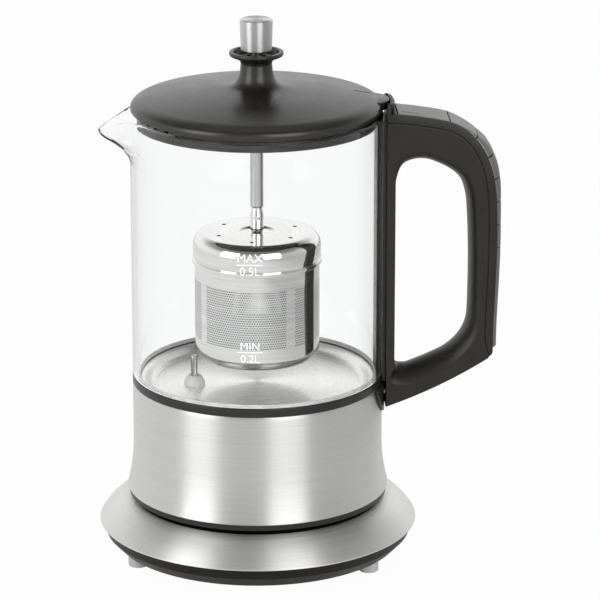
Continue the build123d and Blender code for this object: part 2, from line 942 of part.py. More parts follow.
def filter_cap():
    """Domed cap of the tea filter, with vent holes and a bead round its edge."""
    side = basket_radius + 0.1 + cap_sheet
    bead = side + (cap_radius - side)
    groove_low = cap_bottom_z + 0.3
    groove_top = cap_bottom_z + cap_bead_height - 0.3
    body = turned(
        [
            (rod_radius - 0.8, cap_top_z - 0.6 - cap_sheet),
            (rod_radius + 4, cap_top_z - 0.6 - cap_sheet),
            (rod_radius + 5.5, cap_top_z - cap_sheet),
            (side - cap_sheet, cap_top_z - cap_sheet),
            (side - cap_sheet, groove_top),
            (bead - cap_sheet, groove_top),
            (bead - cap_sheet, groove_low),
            (side - cap_sheet, groove_low),
            (side - cap_sheet, cap_bottom_z),
            (bead - 0.2, cap_bottom_z),
            (bead, cap_bottom_z + 0.4),
            (bead, cap_bottom_z + cap_bead_height - 0.4),
            (bead - 0.2, cap_bottom_z + cap_bead_height),
            (side, cap_bottom_z + cap_bead_height + 0.2),
            (side, cap_top_z),
            (rod_radius + 5.5, cap_top_z),
            (rod_radius + 4, cap_top_z - 0.6),
            (rod_radius - 0.8, cap_top_z - 0.6),
        ],
        [(3, cap_corner_radius - cap_sheet), (14, cap_corner_radius)],
    )
    for x, y in around(cap_hole_count, cap_hole_first_angle, cap_hole_circle):
        body -= pin(cap_hole_radius, x, y, cap_top_z - 3, cap_top_z + 1)
    return body


def filter_basket():
    """Steel cup for the tea, with lugs that turn in the cap's bead."""
    inner = basket_radius - basket_sheet
    body = turned(
        [
            (0, basket_bottom_z),
            (basket_radius, basket_bottom_z),
            (basket_radius, basket_top_z),
            (inner, basket_top_z),
            (inner, basket_bottom_z + basket_sheet),
            (0, basket_bottom_z + basket_sheet),
        ],
        [(1, basket_corner_radius), (4, basket_corner_radius - basket_sheet)],
    )
    middle = cap_bottom_z + cap_bead_height / 2
    reach = cap_radius - cap_sheet - sliding_gap / 2
    band = ring(reach, inner + 0.1, middle - lug_height / 2, middle + lug_height / 2)
    for number in range(lug_count):
        sector = Pos(basket_radius, 0, middle) * Box(4, lug_width, lug_height)
        body += band & Rot(0, 0, 60 + 360 * number / lug_count) * sector
    return body


# ---------------------------------------------------------------- handle
def back_curve():
    """Side edge of the handle's back, from the head round to the tip."""
    across = handle_reach - handle_back_x
    down = handle_top_z - handle_tip_z
    shares = [(0.08, 0.0), (0.375, 0.013), (0.65, 0.051), (0.834, 0.125),
              (0.963, 0.261), (1.0, 0.441), (0.998, 0.64), (0.976, 1.0)]
    return Spline(*[(handle_back_x + a * across, handle_top_z - d * down) for a, d in shares])


def inside_curve(depth, first=0.0, last=None, steps=12):
    """The back curve moved inwards by a depth, or by depth(distance), between two distances."""
    curve = back_curve()
    last = curve.length if last is None else last
    points = []
    for step in range(steps + 1):
        distance = first + (last - first) * step / steps
        spot, along = place_on(curve, distance)
        move = depth(distance) if callable(depth) else depth
        points.append((spot.X + move * along.Y, spot.Y - move * along.X))
    return Spline(*points)


def place_on(curve, distance):
    """Position and direction at a distance along a curve."""
    mode = PositionMode.LENGTH
    return curve.position_at(distance, mode), curve.tangent_at(distance, mode)


def place_inside(distance, depth):
    """Place inside the handle's back whose local Z points straight inwards."""
    spot, along = place_on(back_curve(), distance)
    centre = (spot.X + depth * along.Y, 0, spot.Y - depth * along.X)
    return Plane(origin=centre, x_dir=(0, 1, 0), z_dir=(along.Y, 0, -along.X)).location


def crown_depth(distance):
    """Depth of the strip's crown, negative because it stands out of the back curve."""
    rise = strip_crown[-1][1]
    for (start, low), (end, high) in zip(strip_crown, strip_crown[1:]):
        if start <= distance < end:
            rise = low + (high - low) * (distance - start) / (end - start)
    fade = min(1.0, 0.5 + (back_curve().length - distance) / strip_end_fade)
    return -rise * fade


def band_face(outer_depth, inner_depth, first=0.0, last=None, steps=12):
    """Flat band between two curves inside the handle's back."""
    outer = inside_curve(outer_depth, first, last, steps)
    inner = inside_curve(inner_depth, first, last, steps)
    ends = Line(outer @ 0, inner @ 0) + Line(outer @ 1, inner @ 1)
    return make_face(outer + inner + ends)


def arm_underside():
    """Arc under the lower arm, from the tip to the handle's bottom corner."""
    start = (inside_curve(cover_band) @ 1).X + handle_tip_overhang, handle_tip_z - handle_tip_thickness
    end = (handle_back_x, handle_bottom_z)
    middle = ((start[0] + end[0]) / 2 + arm_sag, (start[1] + end[1]) / 2 - arm_sag)
    return ThreePointArc(start, middle, end)


def finger_hole():
    """Opening for the fingers."""
    left = handle_back_x + bar_width
    right = finger_right_x
    corners = [
        (left, finger_bottom_z - 1),
        (left, finger_top_z - 2),
        (left + 11, finger_top_z + 1.5),
        (right - 3.5, finger_top_z - 6),
        (right, finger_top_z - finger_back_drop),
        (right - 1, finger_bottom_z + 13),
        (left + 5, finger_bottom_z - 1),
    ]
    rounds = [2.2, 7, finger_top_round, finger_back_round, finger_grip_round, finger_bottom_round, 2.5]
    return make_face(FilletPolyline(*corners, radius=rounds, close=True))


def handle_frame():
    """Inner half of the handle: upright bar, both arms and the grip."""
    seam = inside_curve(cover_band)
    arc = arm_underside()
    corner_top = (handle_back_x, (seam @ 0).Y)
    outer = seam + Line(seam @ 1, arc @ 0) + arc + Line(arc @ 1, corner_top) + Line(corner_top, seam @ 0)
    body = slab(make_face(outer), handle_width)
    hole = slab(finger_hole(), 2 * handle_width)
    body -= hole
    edges = [edge for edge in body.edges() if on_hole(edge)]
    body = fillet(edges, grip_round)
    channel = slab(band_face(cover_band - 0.5, inner_channel_depth), inner_channel_width)
    reach = (head_reach + 1.5, 2 * handle_reach, -handle_width, handle_width)
    body -= channel & block(*reach, handle_tip_z + 6, 2 * handle_top_z)
    return body - release_pin_hole(release_pin_radius) - frame_screw_holes()


def on_hole(edge):
    """True for the edges of the finger hole on the handle's side faces."""
    box = edge.bounding_box()
    flat = abs(box.max.Y - box.min.Y) < 0.01
    side = abs(abs(box.max.Y) - handle_width / 2) < 0.01
    inside = box.min.X > handle_back_x + 0.9 * bar_width and box.max.X < finger_right_x + 0.5
    return flat and side and inside and box.min.Z > finger_bottom_z - 3 and box.max.Z < finger_top_z + 3


def release_pin_hole(radius):
    """Rod across the handle at the release key's pivot."""
    place = place_inside(release_key_length - release_pivot_from_end, release_pivot_depth)
    return place * Rot(0, 90, 0) * Cylinder(radius, release_pin_length)


def screw_places():
    """(y, z) of the screws that hold the handle to the steel body."""
    z = handle_bottom_z + 5.8
    return [(-handle_width / 4, z), (handle_width / 4, z)]


def frame_screw_holes(radius=handle_screw_radius):
    """Rods along X at the handle's screws."""
    middle = skirt_top_radius - handle_screw_bore_inset + handle_screw_bore_length / 2
    rods = [
        Pos(middle, y, z) * Rot(0, 90, 0) * Cylinder(radius, handle_screw_bore_length)
        for y, z in screw_places()
    ]
    return rods[0] + rods[1]


def handle_screws():
    """Screws from inside the steel body into the handle."""
    screws = []
    for y, z in screw_places():
        wall = math.sqrt((skirt_top_radius - skirt_sheet) ** 2 - (abs(y) + handle_screw_head) ** 2) - 0.05
        along = Pos(wall, y, z) * Rot(0, 90, 0)
        head = Pos(0, 0, -0.8) * Cylinder(handle_screw_head, 1.6)
        shank = Pos(0, 0, handle_screw_length / 2) * Cylinder(handle_screw_radius, handle_screw_length)
        screws.append(along * (head + shank))
    return screws


def head_lip():
    """Raised collar of the handle's head that wraps round the lid's tab."""
    half = handle_width / 2
    arc = ThreePointArc((handle_back_x, -half), (head_reach, 0), (handle_back_x, half))
    plan = make_face(arc + Line((handle_back_x, half), (handle_back_x, -half)))
    return Pos(0, 0, handle_top_z - 1) * extrude(plan, head_top_z - handle_top_z + 1)


def handle_cover():
    """Outer half of the handle: band along the back with a channel for the keys."""
    curve = back_curve()
    start = curve @ 0
    body = slab(band_face(0, cover_band), handle_width)
    half = handle_width / 2
    body += block(handle_back_x, start.X, -half, half, start.Y - cover_band + 0.02, handle_top_z)
    body += head_lip()
    channel = band_face(-4, channel_floor, head_gap * 0.1, curve.length - 2.0)
    body -= slab(channel, strip_width + 2 * fitted_gap)
    window = band_face(-3, cover_band + 1, 3.0, release_key_length + 0.8)
    body -= slab(window, inner_channel_width)
    for number in range(key_count):
        place = place_inside(key_start + (number + 0.5) * key_pitch, 1.5)
        body -= place * Cylinder(stem_radius + sliding_gap, 9)
    reach = lid_tab_reach + 0.4
    low = lid_edge_z + lid_tab_rise - lid_tab_thickness - 0.4
    return body - lid_tab(reach, lid_tab_half_width + 0.6, low, head_top_z + 5)


def strip_piece(first, last, underside, steps):
    """Length of the crowned strip in the handle's back."""
    body = slab(band_face(crown_depth, underside, first, last, steps), strip_width)
    long_edges = [edge for edge in body.edges() if runs_along(edge)]
    outermost = sorted(long_edges, key=distance_from_grip)[-2:]
    return chamfer(outermost, strip_edge)


def runs_along(edge):
    """True for an edge that runs lengthways on a side of the strip."""
    box = edge.bounding_box()
    return box.max.Y - box.min.Y < 0.01 and edge.length > 5


def distance_from_grip(edge):
    """Distance of an edge's middle from the middle of the finger opening."""
    centre = Vector((handle_back_x + finger_right_x) / 2, 0, (finger_bottom_z + finger_top_z) / 2)
    middle = edge @ 0.5
    return (Vector(middle.X, 0, middle.Z) - centre).length


def release_key():
    """Long key on top of the handle that rocks on its pin to free the lid."""
    end = release_key_length - key_gap / 2
    body = strip_piece(head_gap, end, release_underside, 6)
    pivot = release_key_length - release_pivot_from_end
    web = band_face(release_underside - 0.3, release_pivot_depth, pivot - 2.2, pivot + 2.2, 3)
    body += slab(web, release_boss_width)
    boss = place_inside(pivot, release_pivot_depth) * Rot(0, 90, 0)
    body += boss * Cylinder(2.2, release_boss_width)
    return body - boss * Cylinder(release_pin_radius + running_gap, 2 * handle_width)


def release_pin():
    """Steel pin of the release key."""
    return release_pin_hole(release_pin_radius)


def release_spring():
    """Coil spring under the release key."""
    low, high = release_spring_levels()
    wire = release_spring_wire
    height = high - low - wire
    helix = Helix(pitch=height / release_spring_turns, height=height, radius=release_spring_radius - wire / 2)
    start = Plane(origin=helix @ 0, z_dir=helix % 0)
    coil = sweep(start * Circle(wire / 2), path=helix)
    return Pos(release_spring_x, 0, low + wire / 2) * coil


def release_spring_levels():
    """Bottom and top of the release key's spring."""
    floor = height_on(inside_curve(inner_channel_depth), release_spring_x)
    ceiling = height_on(inside_curve(release_underside), release_spring_x)
    return floor + 0.35, ceiling - 0.35


def height_on(curve, x):
    """Height of a curve at a distance from the jug's axis, by halving."""
    low, high = 0.0, 0.5
    for _ in range(30):
        middle = (low + high) / 2
        low, high = (middle, high) if (curve @ middle).X < x else (low, middle)
    return (curve @ low).Y


def key(number):
    """One of the keys in the handle's back, with its stem."""
    first = key_start + number * key_pitch + key_gap / 2
    body = strip_piece(first, first + key_pitch - key_gap, strip_underside, 3)
    length = stem_end_depth - strip_underside + 0.3
    stem = Pos(0, 0, strip_underside - 0.3 + length / 2) * Cylinder(stem_radius, length)
    return body + place_inside(key_start + (number + 0.5) * key_pitch, 0) * stem


def key_switches():
    """Push switches under the keys' stems."""
    depth = stem_end_depth + key_travel + sliding_gap + switch_height / 2
    switch = Box(switch_size, switch_size, switch_height)
    return [
        place_inside(key_start + (number + 0.5) * key_pitch, depth) * switch
        for number in range(key_count)
    ]


def key_board():
    """Narrow flexible circuit board that carries the switches."""
    top = stem_end_depth + key_travel + sliding_gap + switch_height
    last = key_start + key_count * key_pitch + 2
    return slab(band_face(top + 0.08, top + board_sheet, key_start - 2, last), key_board_width)


def handle_spine():
    """Strip between the glass and the handle's bar, hollowed to the glass."""
    half = spine_width / 2
    low = skirt_top_z + 0.3
    high = (inside_curve(cover_band) @ 0).Y
    body = block(skirt_top_radius - 4, handle_back_x, -half, half, low, high)
    return body - disc(skirt_top_radius + 0.05, low - 1, high + 1)


def saddle():
    """Rounded tongue on the steel body, behind the handle's foot."""
    half = saddle_half_width
    side = ThreePointArc(
        (-half, skirt_top_z),
        (0, skirt_top_z - saddle_drop),
        (half, skirt_top_z),
    )
    view = make_face(side + Line((half, skirt_top_z), (-half, skirt_top_z)))
    low = skirt_top_z - saddle_drop - 1
    wrap = ring(skirt_top_radius + saddle_sheet, skirt_top_radius + 0.02, low, skirt_top_z)
    tongue = wrap & extrude(Plane.YZ * view, 2 * jug_radius)
    return tongue - frame_screw_holes(handle_screw_radius + fitted_gap)


# ---------------------------------------------------------------- write every node
def build_all():
    """Every node of the tea maker by name."""
    nodes = {
        "rubber_feet": rubber_feet(),
        "base_tray": tray(),
        "base_trim_ring": trim_ring(),
        "base_deck": base_deck(),
        "base_screws": base_screws(),
        "base_connector": base_connector(),
        "base_contacts": base_contacts(),
        "cord_gland": cord_gland(),
        "cord_clamp": cord_clamp(),
        "steel_skirt": steel_skirt() - frame_screw_holes(handle_screw_radius + fitted_gap),
        "kettle_bottom_cover": bottom_cover(),
        "kettle_bottom_screws": bottom_screws(),
        "board_carrier": board_carrier(),
        "kettle_plug": kettle_plug(),
        "kettle_plug_contacts": plug_contacts(),
        "floor_plate": floor_plate(),
        "heat_spreader": heat_spreader(),
        "heating_element": heating_element(),
        "thermal_cutout": thermal_cutout(),
        "control_board": control_board(),
        "temperature_probe": probe(),
        "probe_grommet": probe_seal(),
        "glass_seal": glass_seal(),
        "glass_jug": glass_jug(),
        "lid_shell": lid_shell(),
        "lid_inner": lid_inner(),
        "lid_gasket": lid_gasket(),
        "lid_collar": lid_collar(),
        "rod_bush": rod_bush(),
        "lift_knob": lift_knob(),
        "lift_rod": lift_rod(),
        "rod_post": rod_post(),
        "post_nut": post_nut(),
        "filter_cap": filter_cap(),
        "filter_basket": filter_basket(),
        "handle_frame": handle_frame(),
        "handle_cover": handle_cover(),
        "handle_spine": handle_spine(),
        "handle_saddle": saddle(),
        "handle_screws": handle_screws(),
        "strip_upper": strip_piece(
            release_key_length + key_gap / 2,
            key_start - key_gap / 2,
            channel_floor - fitted_gap,
            4,
        ),
        "strip_lower": strip_piece(
            key_start + key_count * key_pitch + key_gap / 2,
            back_curve().length - 2.2,
            channel_floor - fitted_gap,
            6,
        ),
        "release_key": release_key(),
        "release_pin": release_pin(),
        "release_spring": release_spring(),
        "key_switches": key_switches(),
        "key_board": key_board(),
    }
    for number in range(key_count):
        nodes["key_" + str(number + 1)] = key(number)
    return nodes


def main():
    """Write each node to parts/."""
    os.makedirs("parts", exist_ok=True)
    for name, shape in build_all().items():
        save(shape, name)


if __name__ == "__main__":
    main()
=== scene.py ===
import bpy
import bmesh
import math
from bpy.props import FloatProperty, FloatVectorProperty, IntProperty, PointerProperty
from bpy.types import Operator, Panel, PropertyGroup
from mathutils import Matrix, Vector


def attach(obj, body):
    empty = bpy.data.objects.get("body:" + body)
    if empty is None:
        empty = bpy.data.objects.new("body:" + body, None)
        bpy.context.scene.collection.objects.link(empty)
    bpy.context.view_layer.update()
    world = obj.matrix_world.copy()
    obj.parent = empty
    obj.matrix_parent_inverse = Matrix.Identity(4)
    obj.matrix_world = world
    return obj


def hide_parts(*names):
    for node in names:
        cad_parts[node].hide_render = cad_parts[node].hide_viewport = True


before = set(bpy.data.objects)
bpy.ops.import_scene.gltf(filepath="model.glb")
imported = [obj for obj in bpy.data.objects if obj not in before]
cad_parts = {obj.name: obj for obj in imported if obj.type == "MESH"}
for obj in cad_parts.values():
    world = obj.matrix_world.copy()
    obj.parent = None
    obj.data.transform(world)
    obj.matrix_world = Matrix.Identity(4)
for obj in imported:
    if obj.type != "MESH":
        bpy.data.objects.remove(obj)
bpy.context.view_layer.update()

bl_info = {
    "name": "Automatic tea maker",
    "version": (1, 0, 0),
    "blender": (4, 5, 0),
    "location": "View3D > Sidebar > Tea maker",
    "description": "Builds the looks of a cordless tea maker round its packed frame",
    "category": "Object",
}

PI = math.pi
MM = 0.001
# Steps round a finely turned piece
FINE_TURN = 192
# Angle in degrees above which an edge is shaded sharp
SHARP = 32
# Height of the finest relief in metres
FINE = 0.00002


# ------------------------------------------------------------ settings
class SteelSettings(PropertyGroup):
    """Brushed and polished steel."""

    brushed: FloatVectorProperty(
        name="Brushed steel", description="Colour of the brushed steel",
        subtype="COLOR", default=(0.74, 0.74, 0.73), min=0, max=1,
    )
    polished: FloatVectorProperty(
        name="Polished steel", description="Colour of the filter's polished steel",
        subtype="COLOR", default=(0.88, 0.88, 0.87), min=0, max=1,
    )
    grain: FloatProperty(
        name="Grain spacing", description="Distance between brush lines",
        default=0.00028, min=0.00005, max=0.002, unit="LENGTH", precision=5,
    )


class PlasticSettings(PropertyGroup):
    """Black plastic of the lid, handle and base."""

    black: FloatVectorProperty(
        name="Black plastic", description="Colour of the black plastic",
        subtype="COLOR", default=(0.014, 0.0125, 0.010), min=0, max=1,
    )
    texture: FloatProperty(
        name="Texture size", description="Size of the moulded plastic's fine grain",
        default=0.00035, min=0.0001, max=0.003, unit="LENGTH", precision=5,
    )


class GlassSettings(PropertyGroup):
    """Glass jug."""

    wall: FloatProperty(
        name="Wall", description="Thickness of the glass", default=0.0022,
        min=0.001, max=0.004, unit="LENGTH", precision=4,
    )
    tint: FloatVectorProperty(
        name="Tint", description="Colour of the glass", subtype="COLOR",
        default=(0.985, 0.99, 0.988), min=0, max=1,
    )
    print_colour: FloatVectorProperty(
        name="Level marks", description="Colour of the printed level marks",
        subtype="COLOR", default=(0.9, 0.9, 0.9), min=0, max=1,
    )


class BasketSettings(PropertyGroup):
    """Perforated tea basket."""

    hole: FloatProperty(
        name="Hole", description="Diameter of one hole", default=0.00062,
        min=0.0002, max=0.001, unit="LENGTH", precision=5,
    )
    rows: IntProperty(
        name="Rows", description="Rows of holes in a panel", default=25, min=3, max=40,
    )
    columns: IntProperty(
        name="Columns", description="Holes in one row of a panel", default=36, min=3, max=60,
    )
    panels: IntProperty(
        name="Panels", description="Perforated panels round the basket", default=4, min=1, max=6,
    )


class StageSettings(PropertyGroup):
    """Floor, lamps and camera."""

    floor: FloatVectorProperty(
        name="Floor", description="Colour of the floor", subtype="COLOR",
        default=(0.82, 0.82, 0.82), min=0, max=1,
    )
    lamp: FloatProperty(
        name="Lamp power", description="Power of each soft lamp", default=7.5,
        min=1, max=400, unit="POWER",
    )
    lens: FloatProperty(
        name="Lens", description="Focal length of the camera in millimetres",
        default=221.4, min=20, max=400,
    )
    turn: FloatProperty(
        name="Turn", description="Angle of the handle to the camera's picture plane",
        default=math.radians(3.0), subtype="ANGLE",
    )


class TeaMakerSettings(PropertyGroup):
    """All settings of the tea maker."""

    steel: PointerProperty(type=SteelSettings, name="Steel", description="Steel finishes")
    plastic: PointerProperty(type=PlasticSettings, name="Plastic", description="Plastic finish")
    glass: PointerProperty(type=GlassSettings, name="Glass", description="Glass jug")
    basket: PointerProperty(type=BasketSettings, name="Basket", description="Tea basket")
    stage: PointerProperty(type=StageSettings, name="Stage", description="Floor, lamps, camera")


# ------------------------------------------------------------ node helpers
def new_node(tree, kind, inputs=None, **values):
    """A new shader node: its properties, and its inputs as plain values or as outputs to link."""
    made = tree.nodes.new("ShaderNode" + kind)
    for key, value in values.items():
        setattr(made, key, value)
    for key, value in (inputs or {}).items():
        if isinstance(value, bpy.types.NodeSocket):
            tree.links.new(value, made.inputs[key])
        else:
            made.inputs[key].default_value = value
    return made


def fill_ramp(ramp, points):
    """Set a colour ramp's grey stops from (place, level) pairs."""
    stops = ramp.color_ramp.elements
    while len(stops) < len(points):
        stops.new(0.5)
    for stop, (place, level) in zip(stops, points):
        stop.position = place
        stop.color = (level, level, level, 1)


class Finish:
    """A material under construction: a Principled shader and the nodes that feed it."""

    def __init__(self, name, colour, roughness, metal=0.0):
        self.material = bpy.data.materials.new(name)
        self.material.use_nodes = True
        self.tree = self.material.node_tree
        self.shader = self.tree.nodes["Principled BSDF"]
        self.shader.inputs["Base Color"].default_value = (*colour, 1)
        self.shader.inputs["Roughness"].default_value = roughness
        self.shader.inputs["Metallic"].default_value = metal

    def node(self, kind, inputs=None, **values):
        """A new node in this material."""
        return new_node(self.tree, kind, inputs, **values)

    def feed(self, output, name):
        """Link an output to an input of the shader."""
        self.tree.links.new(output, self.shader.inputs[name])

    def place(self, scale):
        """Object coordinates, stretched by scale."""
        spot = self.node("TexCoord").outputs["Object"]
        return self.node("Mapping", {"Vector": spot, "Scale": scale}).outputs["Vector"]

    def around_axis(self, along, across):
        """Coordinates that run slowly round the Z axis and fast across the brush lines."""
        spot = self.node("TexCoord").outputs["Object"]
        parts = self.node("SeparateXYZ", {0: spot}).outputs
        flat = self.node("VectorMath", {0: spot, 1: (1, 1, 0)}, operation="MULTIPLY").outputs["Vector"]
        reach = self.node("VectorMath", {0: flat}, operation="LENGTH").outputs["Value"]
        climb = self.node("Math", {0: parts["Z"], 1: reach}, operation="SUBTRACT").outputs[0]
        fast = self.node("Math", {0: climb, 1: across}, operation="MULTIPLY").outputs[0]
        slow = self.node("VectorMath", {0: spot, "Scale": along}, operation="SCALE").outputs["Vector"]
        slow = self.node("SeparateXYZ", {0: slow}).outputs
        return self.node("CombineXYZ", {"X": slow["X"], "Y": slow["Y"], "Z": fast}).outputs["Vector"]

    def noise(self, vector, scale=1.0, detail=3.0, roughness=0.5):
        """Noise value at a coordinate."""
        inputs = {"Vector": vector, "Scale": scale, "Detail": detail, "Roughness": roughness}
        return self.node("TexNoise", inputs).outputs["Fac"]

    def cells(self, vector, scale):
        """Distance to the nearest cell centre, for a pebbled grain."""
        return self.node("TexVoronoi", {"Vector": vector, "Scale": scale}).outputs["Distance"]

    def spread(self, value, low, high, in_low=0.3, in_high=0.7):
        """A value mapped between two limits."""
        limits = {"From Min": in_low, "From Max": in_high, "To Min": low, "To Max": high}
        return self.node("MapRange", {"Value": value, **limits}).outputs["Result"]

    def sum(self, first, second, share=0.5):
        """Two values blended."""
        return self.node("Mix", {0: share, 2: first, 3: second}, data_type="FLOAT").outputs[0]

    def tint(self, value, low, high):
        """Base colour that runs between two colours."""
        ramp = self.node("ValToRGB", {"Fac": value})
        for stop, position, colour in zip(ramp.color_ramp.elements, (0.3, 0.7), (low, high)):
            stop.position = position
            stop.color = (*colour, 1)
        self.feed(ramp.outputs["Color"], "Base Color")

    def shades(self, value, colour, low, high):
        """Base colour that runs between a darker and a lighter shade of one colour."""
        self.tint(value, *(tuple(min(1.0, part * share) for part in colour) for share in (low, high)))

    def rough(self, value, low, high):
        """Roughness that runs between two values."""
        self.feed(self.spread(value, low, high), "Roughness")

    def bump(self, value, strength, height):
        """Fine relief."""
        relief = self.node("Bump", {"Height": value, "Strength": strength, "Distance": height})
        self.feed(relief.outputs["Normal"], "Normal")

    def set(self, **values):
        """Plain values on the shader's own sockets."""
        for key, value in values.items():
            self.shader.inputs[key.replace("_", " ")].default_value = value


def brushed_steel(context, name="brushed_steel", colour=None, roughness=(0.36, 0.44), lines=1.0, relief=0.12):
    """Steel brushed round its axis, with fine lines and a stretched gloss."""
    look = context.scene.tea_maker.steel
    colour = colour or tuple(look.brushed)
    finish = Finish(name, colour, roughness[0], metal=1.0)
    fine = finish.noise(finish.around_axis(along=55, across=lines / look.grain), detail=2.0)
    broad = finish.noise(finish.around_axis(along=22, across=lines * 0.3 / look.grain), detail=3.0)
    both = finish.sum(fine, broad, share=0.55)
    finish.shades(both, colour, 0.92, 1.06)
    finish.rough(both, *roughness)
    finish.bump(both, strength=relief, height=FINE)
    finish.set(Anisotropic=0.9, Anisotropic_Rotation=0.25)
    finish.feed(finish.node("Tangent", direction_type="RADIAL", axis="Z").outputs["Tangent"], "Tangent")
    return finish.material


def polished_steel(context):
    """Pressed and polished steel with faint waves and wipe marks."""
    colour = tuple(context.scene.tea_maker.steel.polished)
    finish = Finish("polished_steel", colour, roughness=0.06, metal=1.0)
    waves = finish.noise(finish.place((1, 1, 1)), scale=60, detail=1.0)
    wipes = finish.noise(finish.around_axis(along=30, across=900), detail=3.0)
    finish.shades(wipes, colour, 0.94, 1.06)
    finish.rough(wipes, low=0.035, high=0.10)
    finish.bump(waves, strength=0.12, height=0.00025)
    return finish.material


def satin_steel():
    """Drawn steel of the rod and small fittings."""
    colour = (0.60, 0.60, 0.595)
    finish = Finish("satin_steel", colour, roughness=0.3, metal=1.0)
    drawn = finish.noise(finish.place((2600, 2600, 30)), detail=2.0)
    finish.shades(drawn, colour, 0.85, 1.1)
    finish.rough(drawn, low=0.2, high=0.36)
    finish.bump(drawn, strength=0.2, height=FINE)
    return finish.material


def black_plastic(context, name="black_plastic", roughness=(0.30, 0.42), grain=0.22, gloss=1.45):
    """Satin moulded plastic with a fine pebbled grain."""
    look = context.scene.tea_maker.plastic
    colour = tuple(look.black)
    finish = Finish(name, colour, roughness[0])
    where = finish.place((1, 1, 1))
    pebbles = finish.cells(where, 1.0 / look.texture)
    cloud = finish.noise(where, scale=90, detail=4.0)
    finish.shades(cloud, colour, 0.82, 1.2)
    finish.rough(finish.sum(pebbles, cloud, share=0.6), *roughness)
    finish.bump(pebbles, strength=grain, height=FINE)
    finish.set(IOR=gloss)
    return finish.material


def gap_shade_black():
    """Near-black painted shade that stands for the dark inside gaps and seams."""
    finish = Finish("gap_shade_black", (0.006, 0.006, 0.006), roughness=0.7)
    dust = finish.noise(finish.place((1, 1, 1)), scale=400)
    finish.rough(dust, low=0.6, high=0.8)
    return finish.material


def soft_rubber(name="soft_rubber", colour=(0.022, 0.022, 0.021), roughness=(0.45, 0.6)):
    """Matt rubber or silicone."""
    finish = Finish(name, colour, roughness[0])
    where = finish.place((1, 1, 1))
    skin = finish.noise(where, scale=900, detail=3.0)
    finish.shades(finish.noise(where, scale=120), colour, 0.88, 1.12)
    finish.rough(skin, *roughness)
    finish.bump(skin, strength=0.15, height=0.00003)
    return finish.material


def clear_glass(context):
    """Clear heat-proof glass."""
    tint = tuple(context.scene.tea_maker.glass.tint)
    finish = Finish("clear_glass", tint, roughness=0.0)
    smear = finish.noise(finish.place((18, 18, 5)), scale=1.0, detail=2.0)
    finish.rough(smear, low=0.0, high=0.012)
    finish.set(IOR=1.2, Transmission_Weight=1.0)
    return finish.material


def white_print(context):
    """Fired white print on the glass, with a faint painted glow that keeps it bright."""
    colour = tuple(context.scene.tea_maker.glass.print_colour)
    finish = Finish("white_print", colour, roughness=0.4)
    speck = finish.noise(finish.place((1, 1, 1)), scale=4000)
    finish.shades(speck, colour, 0.96, 1.0)
    finish.rough(speck, low=0.35, high=0.5)
    # The emission is a painted glow: it keeps the print bright though no lamp lights it.
    finish.set(Emission_Color=(1, 1, 1, 1), Emission_Strength=0.35)
    return finish.material


def plain_metal(name, colour, roughness):
    """Cast or pressed metal of hidden fittings."""
    finish = Finish(name, colour, roughness, metal=1.0)
    cloud = finish.noise(finish.place((1, 1, 1)), scale=300, detail=4.0)
    finish.shades(cloud, colour, 0.8, 1.1)
    finish.rough(cloud, low=roughness - 0.08, high=roughness + 0.12)
    finish.bump(cloud, strength=0.15, height=0.00004)
    return finish.material


def circuit_green():
    """Solder mask with faint tracks."""
    finish = Finish("circuit_board", (0.02, 0.12, 0.05), roughness=0.4)
    tracks = finish.noise(finish.place((900, 60, 1)), detail=1.0)
    finish.tint(tracks, (0.015, 0.10, 0.04), (0.03, 0.17, 0.07))
    finish.rough(tracks, low=0.3, high=0.45)
    return finish.material


# ------------------------------------------------------------ mesh helpers
def rounded(corners, pieces=6):
    """An open outline in millimetres from (x, y, fillet radius) corners."""
    most = 0.49
    points = []
    for number, (x, y, radius) in enumerate(corners):
        if radius <= 0 or number in (0, len(corners) - 1):
            points.append((x, y))
            continue
        here = Vector((x, y))
        before = Vector(corners[number - 1][:2]) - here
        after = Vector(corners[number + 1][:2]) - here
        half = before.angle(after) / 2
        run = min(radius / math.tan(half), most * before.length, most * after.length)
        size = run * math.tan(half)
        before, after = before.normalized(), after.normalized()
        start, end = here + before * run, here + after * run
        middle = here + (before + after).normalized() * (size / math.sin(half))
        for step in range(pieces + 1):
            share = step / pieces
            spoke = (start - middle).lerp(end - middle, share).normalized() * size
            points.append(tuple(middle + spoke))
    return points


def flowing(points, pieces=8):
    """A smooth open line through points, by a centripetal spline."""
    spots = [Vector(p) for p in points]
    spots = [2 * spots[0] - spots[1]] + spots + [2 * spots[-1] - spots[-2]]
    line = []
    for a, b, c, d in zip(spots, spots[1:], spots[2:], spots[3:]):
        t1 = (b - a).length ** 0.5
        t2 = t1 + (c - b).length ** 0.5
        t3 = t2 + (d - c).length ** 0.5
        for step in range(pieces):
            t = t1 + (t2 - t1) * step / pieces
            share = (t - t1) / (t2 - t1)
            ab, bc, cd = a.lerp(b, t / t1), b.lerp(c, share), c.lerp(d, (t - t2) / (t3 - t2))
            abc, bcd = ab.lerp(bc, t / t2), bc.lerp(cd, (t - t1) / (t3 - t1))
            line.append(tuple(abc.lerp(bcd, share)))
    line.append(tuple(spots[-2]))
    return line


def around(reach, turn, height):
    """A corner at a reach from the upright axis, an angle about it and a height."""
    return (reach * math.cos(turn), reach * math.sin(turn), height)


def new_mesh(name, corners, faces):
    """A mesh from corners in millimetres."""
    mesh = bpy.data.meshes.new(name)
    mesh.from_pydata([tuple(part * MM for part in corner) for corner in corners], [], faces)
    return mesh


def new_object(name, data):
    """An object in the scene that shows a mesh, light or other data."""
    made = bpy.data.objects.new(name, data)
    bpy.context.scene.collection.objects.link(made)
    return made


